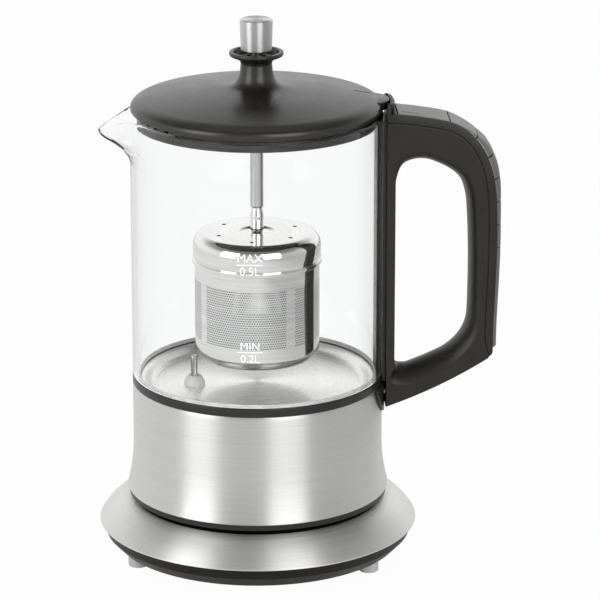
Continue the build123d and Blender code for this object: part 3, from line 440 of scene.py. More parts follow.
def face_outwards(mesh, weld=False):
    """Turn a mesh's faces outwards, with corners that meet joined first if asked."""
    work = bmesh.new()
    work.from_mesh(mesh)
    if weld:
        bmesh.ops.remove_doubles(work, verts=work.verts, dist=0.0001 * MM)
    bmesh.ops.recalc_face_normals(work, faces=work.faces)
    work.to_mesh(mesh)
    work.free()


def shade(mesh, sharp=SHARP):
    """Shade a mesh smooth, but sharp over edges above an angle."""
    mesh.shade_smooth()
    mesh.set_sharp_from_angle(angle=math.radians(sharp))


def make_piece(name, corners, faces, material, body, slot, replaces=(), sharp=SHARP):
    """A mesh piece from corners in millimetres, riding on a body."""
    mesh = new_mesh(name, corners, faces)
    mesh.validate()
    return dress(mesh, name, material, body, replaces, sharp)


def dress(mesh, name, material, body, replaces=(), sharp=SHARP):
    """Put a finished mesh in the scene, shaded and on its body."""
    face_outwards(mesh, weld=True)
    shade(mesh, sharp)
    piece = new_object(name, mesh)
    mesh.materials.append(material)
    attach(piece, body)
    if replaces:
        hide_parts(*replaces)
    return piece


def turned(outline, steps=FINE_TURN, closed=True):
    """Corners and faces of an outline of (radius, height) turned about Z."""
    corners, rows = [], []
    for radius, height in outline:
        if radius < 1e-6:
            rows.append([len(corners)] * steps)
            corners.append((0, 0, height))
            continue
        rows.append(list(range(len(corners), len(corners) + steps)))
        corners += [around(radius, 2 * PI * step / steps, height) for step in range(steps)]
    if closed:
        rows.append(rows[0])
    faces = []
    for low, high in zip(rows, rows[1:]):
        for step in range(steps):
            after = (step + 1) % steps
            face = [low[step], low[after], high[after], high[step]]
            face = [corner for place, corner in enumerate(face) if corner not in face[:place]]
            if len(face) > 2:
                faces.append(face)
    return corners, faces


def turned_piece(name, outline, material, body, slot, replaces=(), steps=FINE_TURN):
    """A piece turned about the jug's axis from a closed outline."""
    return make_piece(name, *turned(outline, steps), material, body, slot, replaces)


def round_bar(radius, low, high, steps):
    """Corners and faces of an upright round bar between two heights."""
    return turned([(0, low), (radius, low), (radius, high), (0, high)], steps)


def moved(corners, x, y):
    """Corners shifted sideways."""
    return [(a + x, b + y, c) for a, b, c in corners]


def carve(piece, cutters, operation="DIFFERENCE"):
    """Cut closed meshes out of a piece, or join them to it."""
    for cutter in cutters:
        change = piece.modifiers.new("cut", "BOOLEAN")
        change.operation = operation
        change.object = cutter
        change.solver = "MANIFOLD"
    graph = bpy.context.evaluated_depsgraph_get()
    done = bpy.data.meshes.new_from_object(piece.evaluated_get(graph))
    piece.modifiers.clear()
    piece.data = done
    for cutter in cutters:
        bpy.data.objects.remove(cutter)
    shade(done)
    return piece


def tool(corners, faces):
    """A closed mesh from corners in millimetres, used to cut or to join."""
    mesh = new_mesh("tool", corners, faces)
    face_outwards(mesh)
    return new_object("tool", mesh)


def inside(line, depth):
    """An open line moved to its right by a depth, or by its own depth at each point."""
    done = []
    for number, (x, y) in enumerate(line):
        before, after = line[max(number - 1, 0)], line[min(number + 1, len(line) - 1)]
        run = Vector((after[0] - before[0], after[1] - before[1])).normalized()
        step = depth[number] if isinstance(depth, list) else depth
        done.append((x + step * run.y, y - step * run.x))
    return done


def inset(loop, depth):
    """A closed loop moved to its right by a depth, or by its own depth at each point, with mitred corners."""
    least = 0.3
    done = []
    for number, spot in enumerate(loop):
        here = Vector(spot)
        one = (here - Vector(loop[number - 1])).normalized()
        two = (Vector(loop[(number + 1) % len(loop)]) - here).normalized()
        side = Vector((one.y + two.y, -one.x - two.x)).normalized()
        step = depth[number] if isinstance(depth, list) else depth
        done.append(tuple(here + side * step / max(least, side.dot(Vector((one.y, -one.x))))))
    return done


def risen(plan, levels):
    """Corners and faces of a plan outline raised through (inset, height) levels."""
    corners = [(x, y, height) for depth, height in levels for x, y in inset(plan, depth)]
    return corners, layered(len(plan), len(levels))


def layered(count, rows):
    """Faces of a closed stack of loops, one after another, with both ends closed."""
    faces = []
    for start in range(0, count * (rows - 1), count):
        for side in range(count):
            after = (side + 1) % count
            faces.append((start + side, start + after, start + count + after, start + count + side))
    last = count * (rows - 1)
    return faces + [tuple(range(count)), tuple(range(last, last + count))]


def slab_tool(outer, inner, half):
    """A closed band between two lines in the handle's middle plane, with a half width."""
    corners = []
    for (x0, z0), (x1, z1) in zip(outer, inner):
        corners += [(x0, -half, z0), (x0, half, z0), (x1, half, z1), (x1, -half, z1)]
    return tool(corners, layered(4, len(outer)))


def soften(width, *nodes):
    """Round the sharp edges of carried-over CAD nodes."""
    for name in nodes:
        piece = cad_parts[name]
        weld = piece.modifiers.new("weld", "WELD")
        weld.merge_threshold = 0.01 * MM
        edge = piece.modifiers.new("edge", "BEVEL")
        edge.width = width * MM
        edge.segments = 2
        edge.limit_method = "ANGLE"
        edge.angle_limit = math.radians(35)
        edge.use_clamp_overlap = False
        edge.harden_normals = True


def recoat(material, *nodes):
    """Give carried-over CAD nodes a finish."""
    for name in nodes:
        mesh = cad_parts[name].data
        mesh.materials.clear()
        mesh.materials.append(material)


# ------------------------------------------------------------ base and steel body
JUG_RADIUS = 52.8
PROBE = (-26.8, -2.6)


def sheet_inside(outside, sheet, drop=0.0):
    """The inner side of a turned sheet: its outer side read backwards, moved in and down."""
    return [(radius - sheet, height - drop) for radius, height in reversed(outside)]


class TEA_OT_base(Operator):
    """Builds the base: steel trim ring and the finishes of tray, deck, feet and connector."""

    bl_idname = "tea.base"
    bl_label = "Base"

    def execute(self, context):
        crown = flowing([(67.5, 14.3), (65.3, 17.15), (62.8, 19.75), (59.9, 21.9), (57.2, 23.2),
                         (54.6, 23.95)])
        rolled_edge = [(67.0, 13.55), (67.35, 13.55), (67.58, 13.75), (67.6, 14.05)]
        inner_lip = [(53.6, 24.1), (52.7, 24.1), (52.45, 23.95), (52.4, 23.7), (52.4, 23.32)]
        under = sheet_inside(crown, sheet=0.9, drop=0.75)[1:] + [(66.6, 13.9)]
        steel = brushed_steel(context, "trim_steel", (0.84, 0.84, 0.83), (0.42, 0.50))
        turned_piece("trim_ring_shell", rolled_edge + crown + inner_lip + under, steel, "base",
                     "brushed_steel", ["base_trim_ring"])
        black = black_plastic(context, "base_plastic", roughness=(0.38, 0.5), grain=0.22, gloss=1.25)
        recoat(black, "base_tray", "base_deck", "base_connector", "cord_clamp")
        recoat(soft_rubber("foot_rubber", (0.62, 0.62, 0.61)), "rubber_feet")
        recoat(soft_rubber(), "cord_gland")
        recoat(plain_metal("contact_brass", (0.7, 0.5, 0.2), 0.3), "base_contacts")
        recoat(satin_steel(), "base_screws")
        return {"FINISHED"}


class TEA_OT_body(Operator):
    """Builds the heated steel body under the jug and dresses its inner pieces."""

    bl_idname = "tea.body"
    bl_label = "Steel body"

    def execute(self, context):
        low, high, steps = 29.3, 75.1, 24
        radius, flare, flare_foot, flare_height = 52.9, 2.7, 29.0, 21.0
        wall = []
        for step in range(steps + 1):
            z = low + (high - low) * step / steps
            share = max(0.0, 1 - (z - flare_foot) / flare_height)
            wall.append((radius + flare * share * share, z))
        foot = [(54.9, 29.0), (55.35, 29.02)]
        rolled_top = [(52.78, 75.35), (52.5, 75.4), (52.0, 75.4)]
        turned_piece("body_shell", foot + wall + rolled_top + sheet_inside(wall, sheet=0.8),
                     brushed_steel(context, "body_steel"), "kettle", "brushed_steel", ["steel_skirt"])
        black = black_plastic(context, "body_plastic")
        recoat(black, "kettle_bottom_cover", "board_carrier", "kettle_plug", "thermal_cutout")
        ring = rounded([(49.6, 75.42, 0), (52.9, 75.42, 0.3), (52.9, 79.2, 0.5), (50.6, 79.2, 0.2),
                        (50.5, 78.6, 0), (49.6, 78.6, 0)])
        rubber = soft_rubber("seal_rubber", (0.016, 0.016, 0.015), (0.25, 0.4))
        turned_piece("seal_ring", ring, rubber, "kettle", "rubber", ["glass_seal"])
        lip = [(49.6, 78.64), (50.5, 78.64)]
        lip += rounded([(50.5, 78.7, 0), (50.5, 80.2, 0.4), (49.6, 80.2, 0.4), (49.6, 78.7, 0)])
        silicone = soft_rubber("seal_silicone", (0.60, 0.60, 0.59), (0.3, 0.45))
        turned_piece("seal_lip", lip, silicone, "kettle", "silicone")
        recoat(plain_metal("plug_brass", (0.7, 0.5, 0.2), 0.3), "kettle_plug_contacts")
        recoat(plain_metal("cast_aluminium", (0.6, 0.6, 0.6), 0.45), "heat_spreader", "heating_element")
        recoat(circuit_green(), "control_board")
        recoat(satin_steel(), "kettle_bottom_screws")
        return {"FINISHED"}


class TEA_OT_floor_plate(Operator):
    """Builds the jug's steel floor with its raised rim, the temperature probe and its grommet."""

    bl_idname = "tea.floor_plate"
    bl_label = "Jug floor and probe"

    def execute(self, context):
        flat = [(0, 73.2), (0, 74.2), (20, 74.2), (36, 74.2)]
        rim = flowing([(43.2, 74.2), (44.4, 74.35), (45.6, 75.2), (46.8, 77.0), (47.7, 77.95), (49.0, 78.2)],
                      pieces=5)
        edge = [(49.52, 78.1), (49.55, 77.6)]
        # A lighter copy of the brushed steel: the raised tone is painted light for the brightness the floor
        # shows through the glass.
        steel = brushed_steel(context, "floor_steel", (0.90, 0.90, 0.89), (0.25, 0.30), lines=0.8,
                              relief=0.03)
        turned_piece("jug_floor", flat + rim + edge + sheet_inside(rim, sheet=-0.2, drop=1.0), steel,
                     "kettle", "satin_steel", ["floor_plate"])
        rod = [(0, 66.2), (1.45, 66.2)] + rounded([(1.45, 70, 0), (1.45, 86.9, 0.8), (0.0, 86.9, 0)])
        corners, faces = turned(rod, 40)
        make_piece("probe_rod", moved(corners, *PROBE), faces, satin_steel(), "kettle", "satin_steel",
                   ["temperature_probe"])
        cup = [(1.5, 73.3)] + rounded([(3.4, 73.3, 0), (4.4, 73.6, 0.4), (4.4, 75.2, 0.8), (3.0, 77.9, 1.0),
                                       (2.1, 78.2, 0.3), (1.5, 77.9, 0)])
        corners, faces = turned(cup, 64)
        silicone = soft_rubber("silicone", (0.62, 0.62, 0.61), (0.35, 0.5))
        make_piece("probe_grommet_cup", moved(corners, *PROBE), faces, silicone, "kettle", "silicone",
                   ["probe_grommet"])
        return {"FINISHED"}


# ------------------------------------------------------------ glass jug
GLASS_BOTTOM, GLASS_TOP = 79.35, 192.05
SPOUT_HEIGHT = 21.0
# Share of the spout's reach at an angle from its middle, in degrees
SPOUT_PLAN = [(0, 1), (1.1, 0.995), (2.2, 0.955), (4.46, 0.785), (6.5, 0.60), (8.8, 0.440), (11, 0.33),
              (13, 0.255), (17.8, 0.125), (22, 0.055), (26, 0.02), (31, 0)]
# Share of the spout's reach at a share of its height
SPOUT_RISE = [(0, 0), (0.1, 0.045), (0.19, 0.12), (0.33, 0.32), (0.43, 0.57), (0.50, 0.78), (0.56, 0.92),
              (0.64, 1.0), (1.0, 1.0)]


def eased(value, points):
    """A value read from a table of (place, value) pairs, in straight steps between them."""
    if value <= points[0][0]:
        return points[0][1]
    for (x0, y0), (x1, y1) in zip(points, points[1:]):
        if value <= x1:
            return y0 + (y1 - y0) * (value - x0) / (x1 - x0)
    return points[-1][1]


def spout_share(turn, z):
    """How far the spout stands out, 0 to 1, at an angle from its middle and a height."""
    widening = 0.9
    rise = eased((z - GLASS_TOP + SPOUT_HEIGHT) / SPOUT_HEIGHT, SPOUT_RISE)
    wide = 1 + widening * (1 - rise)
    return rise * eased(abs(turn) / wide, SPOUT_PLAN)


class TEA_OT_jug(Operator):
    """Builds the glass jug with its pouring spout and rolled rim."""

    bl_idname = "tea.jug"
    bl_label = "Glass jug"

    def execute(self, context):
        wall = context.scene.tea_maker.glass.wall / MM
        turns = self.turns(240)
        outer = [self.outer_column(turn) for turn in turns]
        corners = []
        for number, column in enumerate(outer):
            before, after = outer[number - 1], outer[(number + 1) % len(outer)]
            corners += self.wall_loop(column, before, after, turns[number], wall)
        count = len(turns)
        ring = len(corners) // count
        faces = []
        for here in range(0, count * ring, ring):
            after = (here + ring) % (count * ring)
            for low in range(ring):
                high = (low + 1) % ring
                faces.append((here + low, after + low, after + high, here + high))
        jug = make_piece("jug_glass", corners, faces, clear_glass(context), "kettle", "glass", ["glass_jug"],
                         sharp=60)
        jug.visible_shadow = False
        return {"FINISHED"}

    def turns(self, steps):
        """Angles round the jug from the spout's middle, close together at the spout."""
        even, crowded = 0.35, 0.65
        shares = [-1 + 2 * step / steps for step in range(steps)]
        return [180 * (even * share + crowded * share ** 3) for share in shares]

    def outer_column(self, turn):
        """The outer side of the wall at one angle, from the foot to the rim, which dips at the spout."""
        stick_out, bead, dip, dip_power, top_levels = 13.0, 1.05, 6.3, 1.2, 26
        levels = [0, 0.01, 0.03, 0.08, 0.2, 0.35, 0.5, 0.62, 0.72, 0.80]
        levels += [0.80 + 0.2 * step / top_levels for step in range(1, top_levels + 1)]
        rim = GLASS_TOP - bead - dip * spout_share(turn, GLASS_TOP) ** dip_power
        angle = math.radians(180 + turn)
        column = []
        for level in levels:
            z = GLASS_BOTTOM + (rim - GLASS_BOTTOM) * level
            reach = JUG_RADIUS + stick_out * spout_share(turn, z)
            column.append(Vector(around(reach, angle, z)))
        return column

    def wall_loop(self, column, before, after, turn, wall):
        """One closed loop of the wall: up the outside, over the round rim and down the inside."""
        thinning, beads, roundness = 0.55, 7, 1.05
        inner = []
        for row, point in enumerate(column):
            across = (after[row] - before[row]).normalized()
            up = (column[min(row + 1, len(column) - 1)] - column[max(row - 1, 0)]).normalized()
            outward = across.cross(up).normalized()
            inner.append(point - outward * (wall * (1 - thinning * spout_share(turn, point.z))))
        start, end = column[-1], inner[-1]
        middle, arm = (start + end) / 2, (start - end) / 2
        up = (column[-1] - column[-2]).normalized() * arm.length * roundness
        swings = [PI * bead / beads for bead in range(1, beads)]
        rim = [middle + arm * math.cos(swing) + up * math.sin(swing) for swing in swings]
        return [tuple(point) for point in column + rim + inner[::-1]]


def wrapped_marks(drawing, turn, z):
    """Bend a flat drawing in millimetres onto the jug's side."""
    ink = 0.03
    for corner in drawing.vertices:
        x, y, lift = corner.co
        angle = math.radians(turn) + x / JUG_RADIUS
        reach = (JUG_RADIUS + ink + lift) * MM
        corner.co = around(reach, angle, (z + y) * MM)
    return drawing


def letters(words, size):
    """Flat drawing of generic lettering, centred, in millimetres."""
    curve = bpy.data.curves.new(words, "FONT")
    curve.body = words
    curve.size = size
    curve.align_x = "CENTER"
    curve.align_y = "CENTER"
    curve.resolution_u = 6
    holder = new_object(words, curve)
    bpy.context.view_layer.update()
    mesh = bpy.data.meshes.new_from_object(holder.evaluated_get(bpy.context.evaluated_depsgraph_get()))
    bpy.data.objects.remove(holder)
    return mesh


class TEA_OT_level_marks(Operator):
    """Prints the plain level marks on the glass: maximum and minimum with their volumes."""

    bl_idname = "tea.level_marks"
    bl_label = "Level marks"

    def execute(self, context):
        turn, length, half_width, lift, steps = -95.6, 10.4, 0.2, 0.04, 16
        ink = white_print(context)
        for name, words, size, z in (
            ("mark_max", "MAX", 4.9, 143.6), ("mark_max_volume", "0.5L", 4.9, 138.0),
            ("mark_min", "MIN", 4.6, 106.1), ("mark_min_volume", "0.2L", 4.6, 100.7),
        ):
            mesh = wrapped_marks(letters(words, size), turn, z)
            mesh.name = name
            dress(mesh, name, ink, "kettle")
        reach = JUG_RADIUS + lift
        for name, z in (("mark_max_line", 140.9), ("mark_min_line", 103.6)):
            corners = []
            for step in range(steps + 1):
                angle = math.radians(turn) + (step / steps - 0.5) * length / JUG_RADIUS
                corners += [around(reach, angle, z + side) for side in (-half_width, half_width)]
            faces = [(2 * step, 2 * step + 2, 2 * step + 3, 2 * step + 1) for step in range(steps)]
            make_piece(name, corners, faces, ink, "kettle", "glass")
        return {"FINISHED"}


# ------------------------------------------------------------ lid
class TEA_OT_lid(Operator):
    """Builds the domed lid, its flared collar and the finishes of skirt, gasket and bush."""

    bl_idname = "tea.lid"
    bl_label = "Lid"

    def execute(self, context):
        plastic = black_plastic(context, "lid_plastic", roughness=(0.24, 0.33), grain=0.3, gloss=1.64)
        dome = flowing([(52.5, 194.3), (52.42, 194.9), (51.9, 195.9), (50.6, 196.95), (48.2, 197.85),
                        (45.0, 198.5), (37.5, 199.75), (28.8, 201.0), (20.0, 202.0), (14.5, 202.6),
                        (11.2, 203.2), (9.0, 204.4), (7.7, 206.4), (6.95, 208.8), (6.66, 211.3)], pieces=6)
        neck = [(4.3, 211.55), (6.4, 211.55), (6.62, 211.5)]
        under = [(52.45, 193.5), (52.2, 193.15), (51.8, 193.05), (49.9, 193.05), (49.8, 195.2), (45.0, 196.1),
                 (28.8, 198.6), (12.6, 200.25), (4.3, 202.0)]
        turned_piece("lid_dome", neck + dome[::-1] + under, plastic, "lid", "black_plastic", ["lid_shell"],
                     steps=256)
        make_piece("lid_tongue", *self.tongue(), plastic, "lid", "black_plastic")
        flare = flowing([(6.62, 211.62), (6.55, 212.4), (6.75, 213.4), (7.6, 214.4), (9.2, 215.2),
                         (10.6, 215.75), (11.2, 216.2), (11.35, 216.7)], pieces=5)
        top = rounded([(11.35, 216.7, 0), (11.35, 217.65, 0.75), (9.6, 217.65, 0.5), (9.0, 215.6, 0.8),
                       (4.3, 215.45, 0)])
        turned_piece("lid_flare", [(4.3, 211.58), (6.4, 211.58)] + flare + top, plastic, "lid",
                     "black_plastic", ["lid_collar"], steps=128)
        # The lid's dash is near-black painted shade for a gap.
        make_piece("lid_dash", *self.dash(sorted(dome)), gap_shade_black(), "lid", "black_plastic")
        recoat(plastic, "lid_inner")
        recoat(soft_rubber("gasket_silicone", (0.03, 0.03, 0.03), (0.08, 0.16)), "lid_gasket")
        recoat(satin_steel(), "rod_bush")
        return {"FINISHED"}

    def tongue(self):
        """The lid's round tab towards the handle."""
        centre, radius, start, steps = 44.7, 10.7, 48.3, 16
        span = math.acos((start - centre) / radius)
        turns = [span * (step / steps - 1) for step in range(2 * steps + 1)]
        plan = [(centre + radius * math.cos(turn), radius * math.sin(turn)) for turn in turns]
        return risen(plan[::-1], ((0, 193.65), (0, 196.55), (0.1, 196.9), (0.3, 197.1), (0.6, 197.15)))

    def dash(self, dome):
        """A short dash pressed into the dome beside its tab, in near-black painted shade for a gap."""
        start, length, aside, half, sunk, proud, steps = 41.3, 6.7, 5.25, 0.35, -0.2, 0.04, 12
        corners = []
        for step in range(steps + 1):
            x = start + length * step / steps
            for side, lift in ((-half, sunk), (half, sunk), (half, proud), (-half, proud)):
                y = aside + side
                corners.append((x, y, eased(math.hypot(x, y), dome) + lift))
        return corners, layered(4, steps + 1)


# ------------------------------------------------------------ filter
class TEA_OT_lift(Operator):
    """Builds the knob, the rod and the polished post of the filter lift."""

    bl_idname = "tea.lift"
    bl_label = "Knob and rod"

    def execute(self, context):
        knob = [(0, 218.35, 0), (6.5, 218.35, 0.25), (6.88, 230.9, 0.35), (6.2, 231.35, 0.3), (0, 231.35, 0)]
        steel = brushed_steel(context, "knob_steel", (0.68, 0.68, 0.68), (0.34, 0.42))
        turned_piece("knob_turned", [(0, 218.35)] + rounded(knob), steel, "filter_lift", "satin_steel",
                     ["lift_knob"], steps=128)
        rod = [(0, 150.95, 0), (2.45, 150.95, 0.1), (2.75, 151.4, 0.2), (2.75, 226.3, 0), (0, 226.3, 0)]
        turned_piece("rod_bar", rounded(rod), satin_steel(), "filter_lift", "satin_steel", ["lift_rod"],
                     steps=64)
        post = [(0, 138.9, 0), (1.4, 138.9, 0), (1.4, 139.7, 0), (2.35, 139.78, 0.3), (2.8, 141.2, 0.6),
                (2.78, 147.2, 1.5), (2.3, 149.9, 1.2), (2.2, 150.5, 0.2), (2.2, 151.0, 0), (0, 151.0, 0)]
        turned_piece("post_turned", rounded(post), polished_steel(context), "filter_lift", "polished_steel",
                     ["rod_post"], steps=64)
        recoat(satin_steel(), "post_nut")
        return {"FINISHED"}


class TEA_OT_cap(Operator):
    """Builds the filter's domed cap with its six vent holes and rolled bead."""

    bl_idname = "tea.cap"
    bl_label = "Filter cap"

    def execute(self, context):
        dome = rounded([(8.6, 140.35, 0), (26.9, 140.35, 6.5), (26.9, 129.9, 0)], 28)
        groove = [(26.82, 129.75), (26.62, 129.62), (26.6, 129.48), (26.74, 129.38)]
        bead = rounded([(26.9, 129.36, 0), (27.3, 129.2, 0.25), (27.3, 127.65, 0.45), (26.55, 127.65, 0)], 5)
        above_groove = 130.2
        lining = sheet_inside([spot for spot in dome if spot[1] > above_groove], sheet=0.5, drop=0.4)
        dimple = rounded([(1.5, 139.75, 0), (6.5, 139.75, 0.8), (8.1, 140.35, 0.8), (8.6, 140.35, 0)])
        outline = dimple[:-1] + dome + groove + bead + [(26.35, 128.2), (26.35, 129.9)] + lining
        outline += [(6.6, 139.35), (1.5, 139.35)]
        cap = turned_piece("cap_dome", outline, polished_steel(context), "filter_lift", "polished_steel",
                           ["filter_cap"])
        holes, first, circle, radius, low, high = 6, 21, 17.4, 0.95, 136, 144
        corners, faces = round_bar(radius, low, high, 24)
        turns = [math.radians(first + 360 / holes * number) for number in range(holes)]
        spots = [(circle * math.cos(turn), circle * math.sin(turn)) for turn in turns]
        carve(cap, [tool(moved(corners, *spot), faces) for spot in spots])
        return {"FINISHED"}


class TEA_OT_basket(Operator):
    """Builds the tea basket with its perforated panels."""

    bl_idname = "tea.basket"
    bl_label = "Tea basket"

    radius, sheet, foot = 26.3, 0.5, 86.15
    low, high = 96.0, 121.2
    panel_width = 80.6
    first_panel = -145.5
    gap_steps = 4

    def execute(self, context):
        steel = polished_steel(context)
        shell = make_piece("basket_shell", *self.shell(), steel, "basket", "polished_steel",
                           ["filter_basket"])
        mesh = make_piece("basket_mesh", *self.panels(context.scene.tea_maker.basket), steel, "basket",
                          "polished_steel")
        # Dark grey painted shade for the basket's inside and the walls of its holes.
        inner_shade = plain_metal("basket_inside_shade", (0.16, 0.16, 0.155), 0.5)
        for piece in (shell, mesh):
            self.line(piece.data, inner_shade)
        return {"FINISHED"}

    def line(self, mesh, finish):
        """Give the inner side and the holes' walls a dark grey painted shade, so the holes read dark."""
        inner_reach, above_foot = 25.9 * MM, 90 * MM
        mesh.materials.append(finish)
        for face in mesh.polygons:
            spots = [mesh.vertices[corner].co for corner in face.vertices]
            reach, low = min(spot.xy.length for spot in spots), min(spot.z for spot in spots)
            if reach < inner_reach and low > above_foot:
                face.material_index = 1

    def shell(self):
        """The plain sheet under and over the perforated panels."""
        bend, lining = 4.2, self.radius - self.sheet
        under = rounded([(0, self.foot, 0), (self.radius, self.foot, bend), (self.radius, self.low, 0)], 12)
        under += rounded([(lining, self.low, 0), (lining, self.foot + self.sheet, bend - self.sheet),
                          (0, self.foot + self.sheet, 0)], 12)
        over = [(self.radius, self.high), (self.radius, 129.9), (26.2, 130.3), (25.9, 130.45),
                (lining, 130.2), (lining, self.high)]
        corners, faces = turned(under, FINE_TURN, closed=False)
        more, more_faces = turned(over, FINE_TURN, closed=False)
        faces += [[place + len(corners) for place in face] for face in more_faces]
        return corners + more, faces

    def panels(self, look):
        """The perforated panels and the plain strips between them, as one sheet."""
        radius, inner = self.radius, self.radius - self.sheet
        span = math.radians(self.panel_width)
        pitch_turn = span / look.columns
        pitch_z = (self.high - self.low) / look.rows
        gap = (2 * PI / look.panels - span) / self.gap_steps
        hole, hole_sides, stagger = look.hole / MM / 2, 8, 0.25
        corners, faces, index = [], [], {}

        def corner(turn, z, reach):
            key = (round(turn, 7), round(z, 5), round(reach, 3))
            if key not in index:
                index[key] = len(corners)
                corners.append(around(reach, turn, z))
            return index[key]

        def both(loop):
            faces.append([corner(turn, z, radius) for turn, z in loop])
            faces.append([corner(turn, z, inner) for turn, z in reversed(loop)])

        def box(left, right, bottom, top):
            return [(right, bottom), (right, top), (left, top), (left, bottom)]

        def cell(square, hole_turn, hole_z):
            swings = [PI / hole_sides + 2 * PI * step / hole_sides for step in range(hole_sides)]
            points = [(hole_turn + hole / radius * math.cos(swing), hole_z + hole * math.sin(swing))
                      for swing in swings]
            for side in range(4):
                one, two = square[side], square[(side + 1) % 4]
                both([one, two, points[2 * side], points[2 * side - 1]])
                both([two, points[2 * side + 1], points[2 * side]])
            for one, two in zip(points, points[1:] + points[:1]):
                wall = ((one, radius), (two, radius), (two, inner), (one, inner))
                faces.append([corner(*spot, reach) for spot, reach in wall])

        for panel in range(look.panels):
            start = math.radians(self.first_panel) + panel * 2 * PI / look.panels
            for row in range(look.rows):
                bottom = self.low + row * pitch_z
                top = bottom + pitch_z
                shift = stagger if row % 2 else -stagger
                for column in range(look.columns):
                    left = start + column * pitch_turn
                    cell(box(left, left + pitch_turn, bottom, top), left + (0.5 + shift) * pitch_turn,
                         bottom + pitch_z / 2)
                for part in range(self.gap_steps):
                    left = start + span + part * gap
                    both([(left, bottom), (left + gap, bottom), (left + gap, top), (left, top)])
        return corners, faces


# ------------------------------------------------------------ handle
HALF_WIDTH = 10.5
BACK_TOP, BACK_TIP = 192.595, (99.2, 88.0)
# Start of the long key, measured along the back from its head
STRIP_START = 1.31
FRAME_FOOT, FRAME_TOE = (53.9, 64.7), (97.4, 85.8)
# A corner rounded as far as its two sides allow
FULL = 999
# Finger opening: corners with their rounding
HOLE = [(57.8, 81.1, 3.5), (57.8, 168.4, 10), (68.4, 172.8, 13), (79.4, 168.0, FULL), (85.3, 163.4, FULL),
        (87.8, 155.5, FULL), (88.7, 143.0, FULL), (89.15, 127.0, FULL), (88.95, 108.0, FULL),
        (88.55, 100.0, FULL), (85.5, 93.7, FULL), (80.0, 88.3, FULL), (71.5, 84.3, FULL), (63.0, 81.0, 5)]
# How far keys and strips stand over the back, at a distance along it
CROWN = [(0, 0.35), (12, 0.4), (18, 0.2), (24, 0.1), (30, 0.5), (36, 1.4), (41, 2.6), (46, 2.95), (50, 3.05),
         (58, 2.7), (66, 2.1), (74, 1.95), (140, 1.9)]
# How far the back lies under the CAD cover's edge, at a distance along it
SETTLED = [(0, 0.3), (9, 0.6), (15, 0.85), (20, 0.7), (26, 0.3), (33, 0)]
# Keys: how many, where their row starts, their pitch, and where a key starts and ends in its pitch
KEY_COUNT, KEY_FIRST, KEY_PITCH, KEY_START, KEY_END = 5, 36.0, 9.9, 0.17, 9.72


def cover_edge():
    """The upper side edge of the CAD cover from its tip to its head, as a chain of corners."""
    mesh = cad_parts["handle_cover"].data
    uses = {}
    for face in mesh.polygons:
        corners = [mesh.vertices[corner].co / MM for corner in face.vertices]
        if all(abs(corner.y - HALF_WIDTH) < 0.01 for corner in corners):
            spots = [(round(corner.x, 3), round(corner.z, 3)) for corner in corners]
            for one, two in zip(spots, spots[1:] + spots[:1]):
                uses.setdefault(frozenset((one, two)), []).append((one, two))
    ahead = {}
    for pair in uses.values():
        if len(pair) == 1:
            for one, two in (pair[0], pair[0][::-1]):
                ahead.setdefault(one, []).append(two)
    tip = min(ahead, key=lambda spot: abs(spot[0] - BACK_TIP[0]) + abs(spot[1] - BACK_TIP[1]))
    here = max(ahead[tip], key=lambda spot: spot[1] * 10 + spot[0])
    line = [tip]
    while here[1] < BACK_TOP:
        line.append(here)
        here = [spot for spot in ahead[here] if spot != line[-2]][0]
    return line + [here]


def back_line():
    """The handle's back from head to tip: the side edge of the CAD cover, as a smooth dense line."""
    line = flowing([(56.3, 192.66)] + cover_edge()[::-1] + [(99.2, 86.6)], 10)
    return inside(line, [eased(place, SETTLED) for place in distances(line)])


def distances(line):
    """Distance along a line at each of its points."""
    run = [0.0]
    for one, two in zip(line, line[1:]):
        run.append(run[-1] + (Vector(two) - Vector(one)).length)
    return run


def stations(line, places):
    """Points of a line at the given distances."""
    run = distances(line)
    spots, number = [], 0
    for place in places:
        while number < len(run) - 2 and run[number + 1] < place:
            number += 1
        share = (place - run[number]) / (run[number + 1] - run[number])
        spots.append(tuple(Vector(line[number]).lerp(Vector(line[number + 1]), share)))
    return spots


def strip_stations(back, places):
    """Points of the back at distances from the long key's start."""
    return stations(back, [place + STRIP_START for place in places])


def stepped(first, last, pitch):
    """Evenly spaced distances between two ends."""
    count = max(1, round((last - first) / pitch))
    return [first + (last - first) * step / count for step in range(count + 1)]


def seam_depths(line):
    """Depth of the seam between cover and frame, thinner towards the tip."""
    full, loss, start, run = 3.6, 1.55, 98.0, 10.0
    return [full - loss * (max(0.0, start - spot[1]) / run) ** 2 for spot in line]


def frame_outline(back):
    """The frame's outer line: the seam under the cover, the toe and the sagging underside."""
    seam = inside(back, seam_depths(back))[3:]
    (toe_x, toe_z), (foot_x, foot_z) = FRAME_TOE, FRAME_FOOT
    sag, lean_x, lean_z, steps = 1.41, 0.45, 0.9, 24
    under = []
    for step in range(1, steps):
        share = step / steps
        drop = sag * 4 * share * (1 - share)
        under.append((toe_x + (foot_x - toe_x) * share + lean_x * drop,
                      toe_z + (foot_z - toe_z) * share - lean_z * drop))
    return [(foot_x, seam[0][1])] + seam + [FRAME_TOE] + under + [FRAME_FOOT]


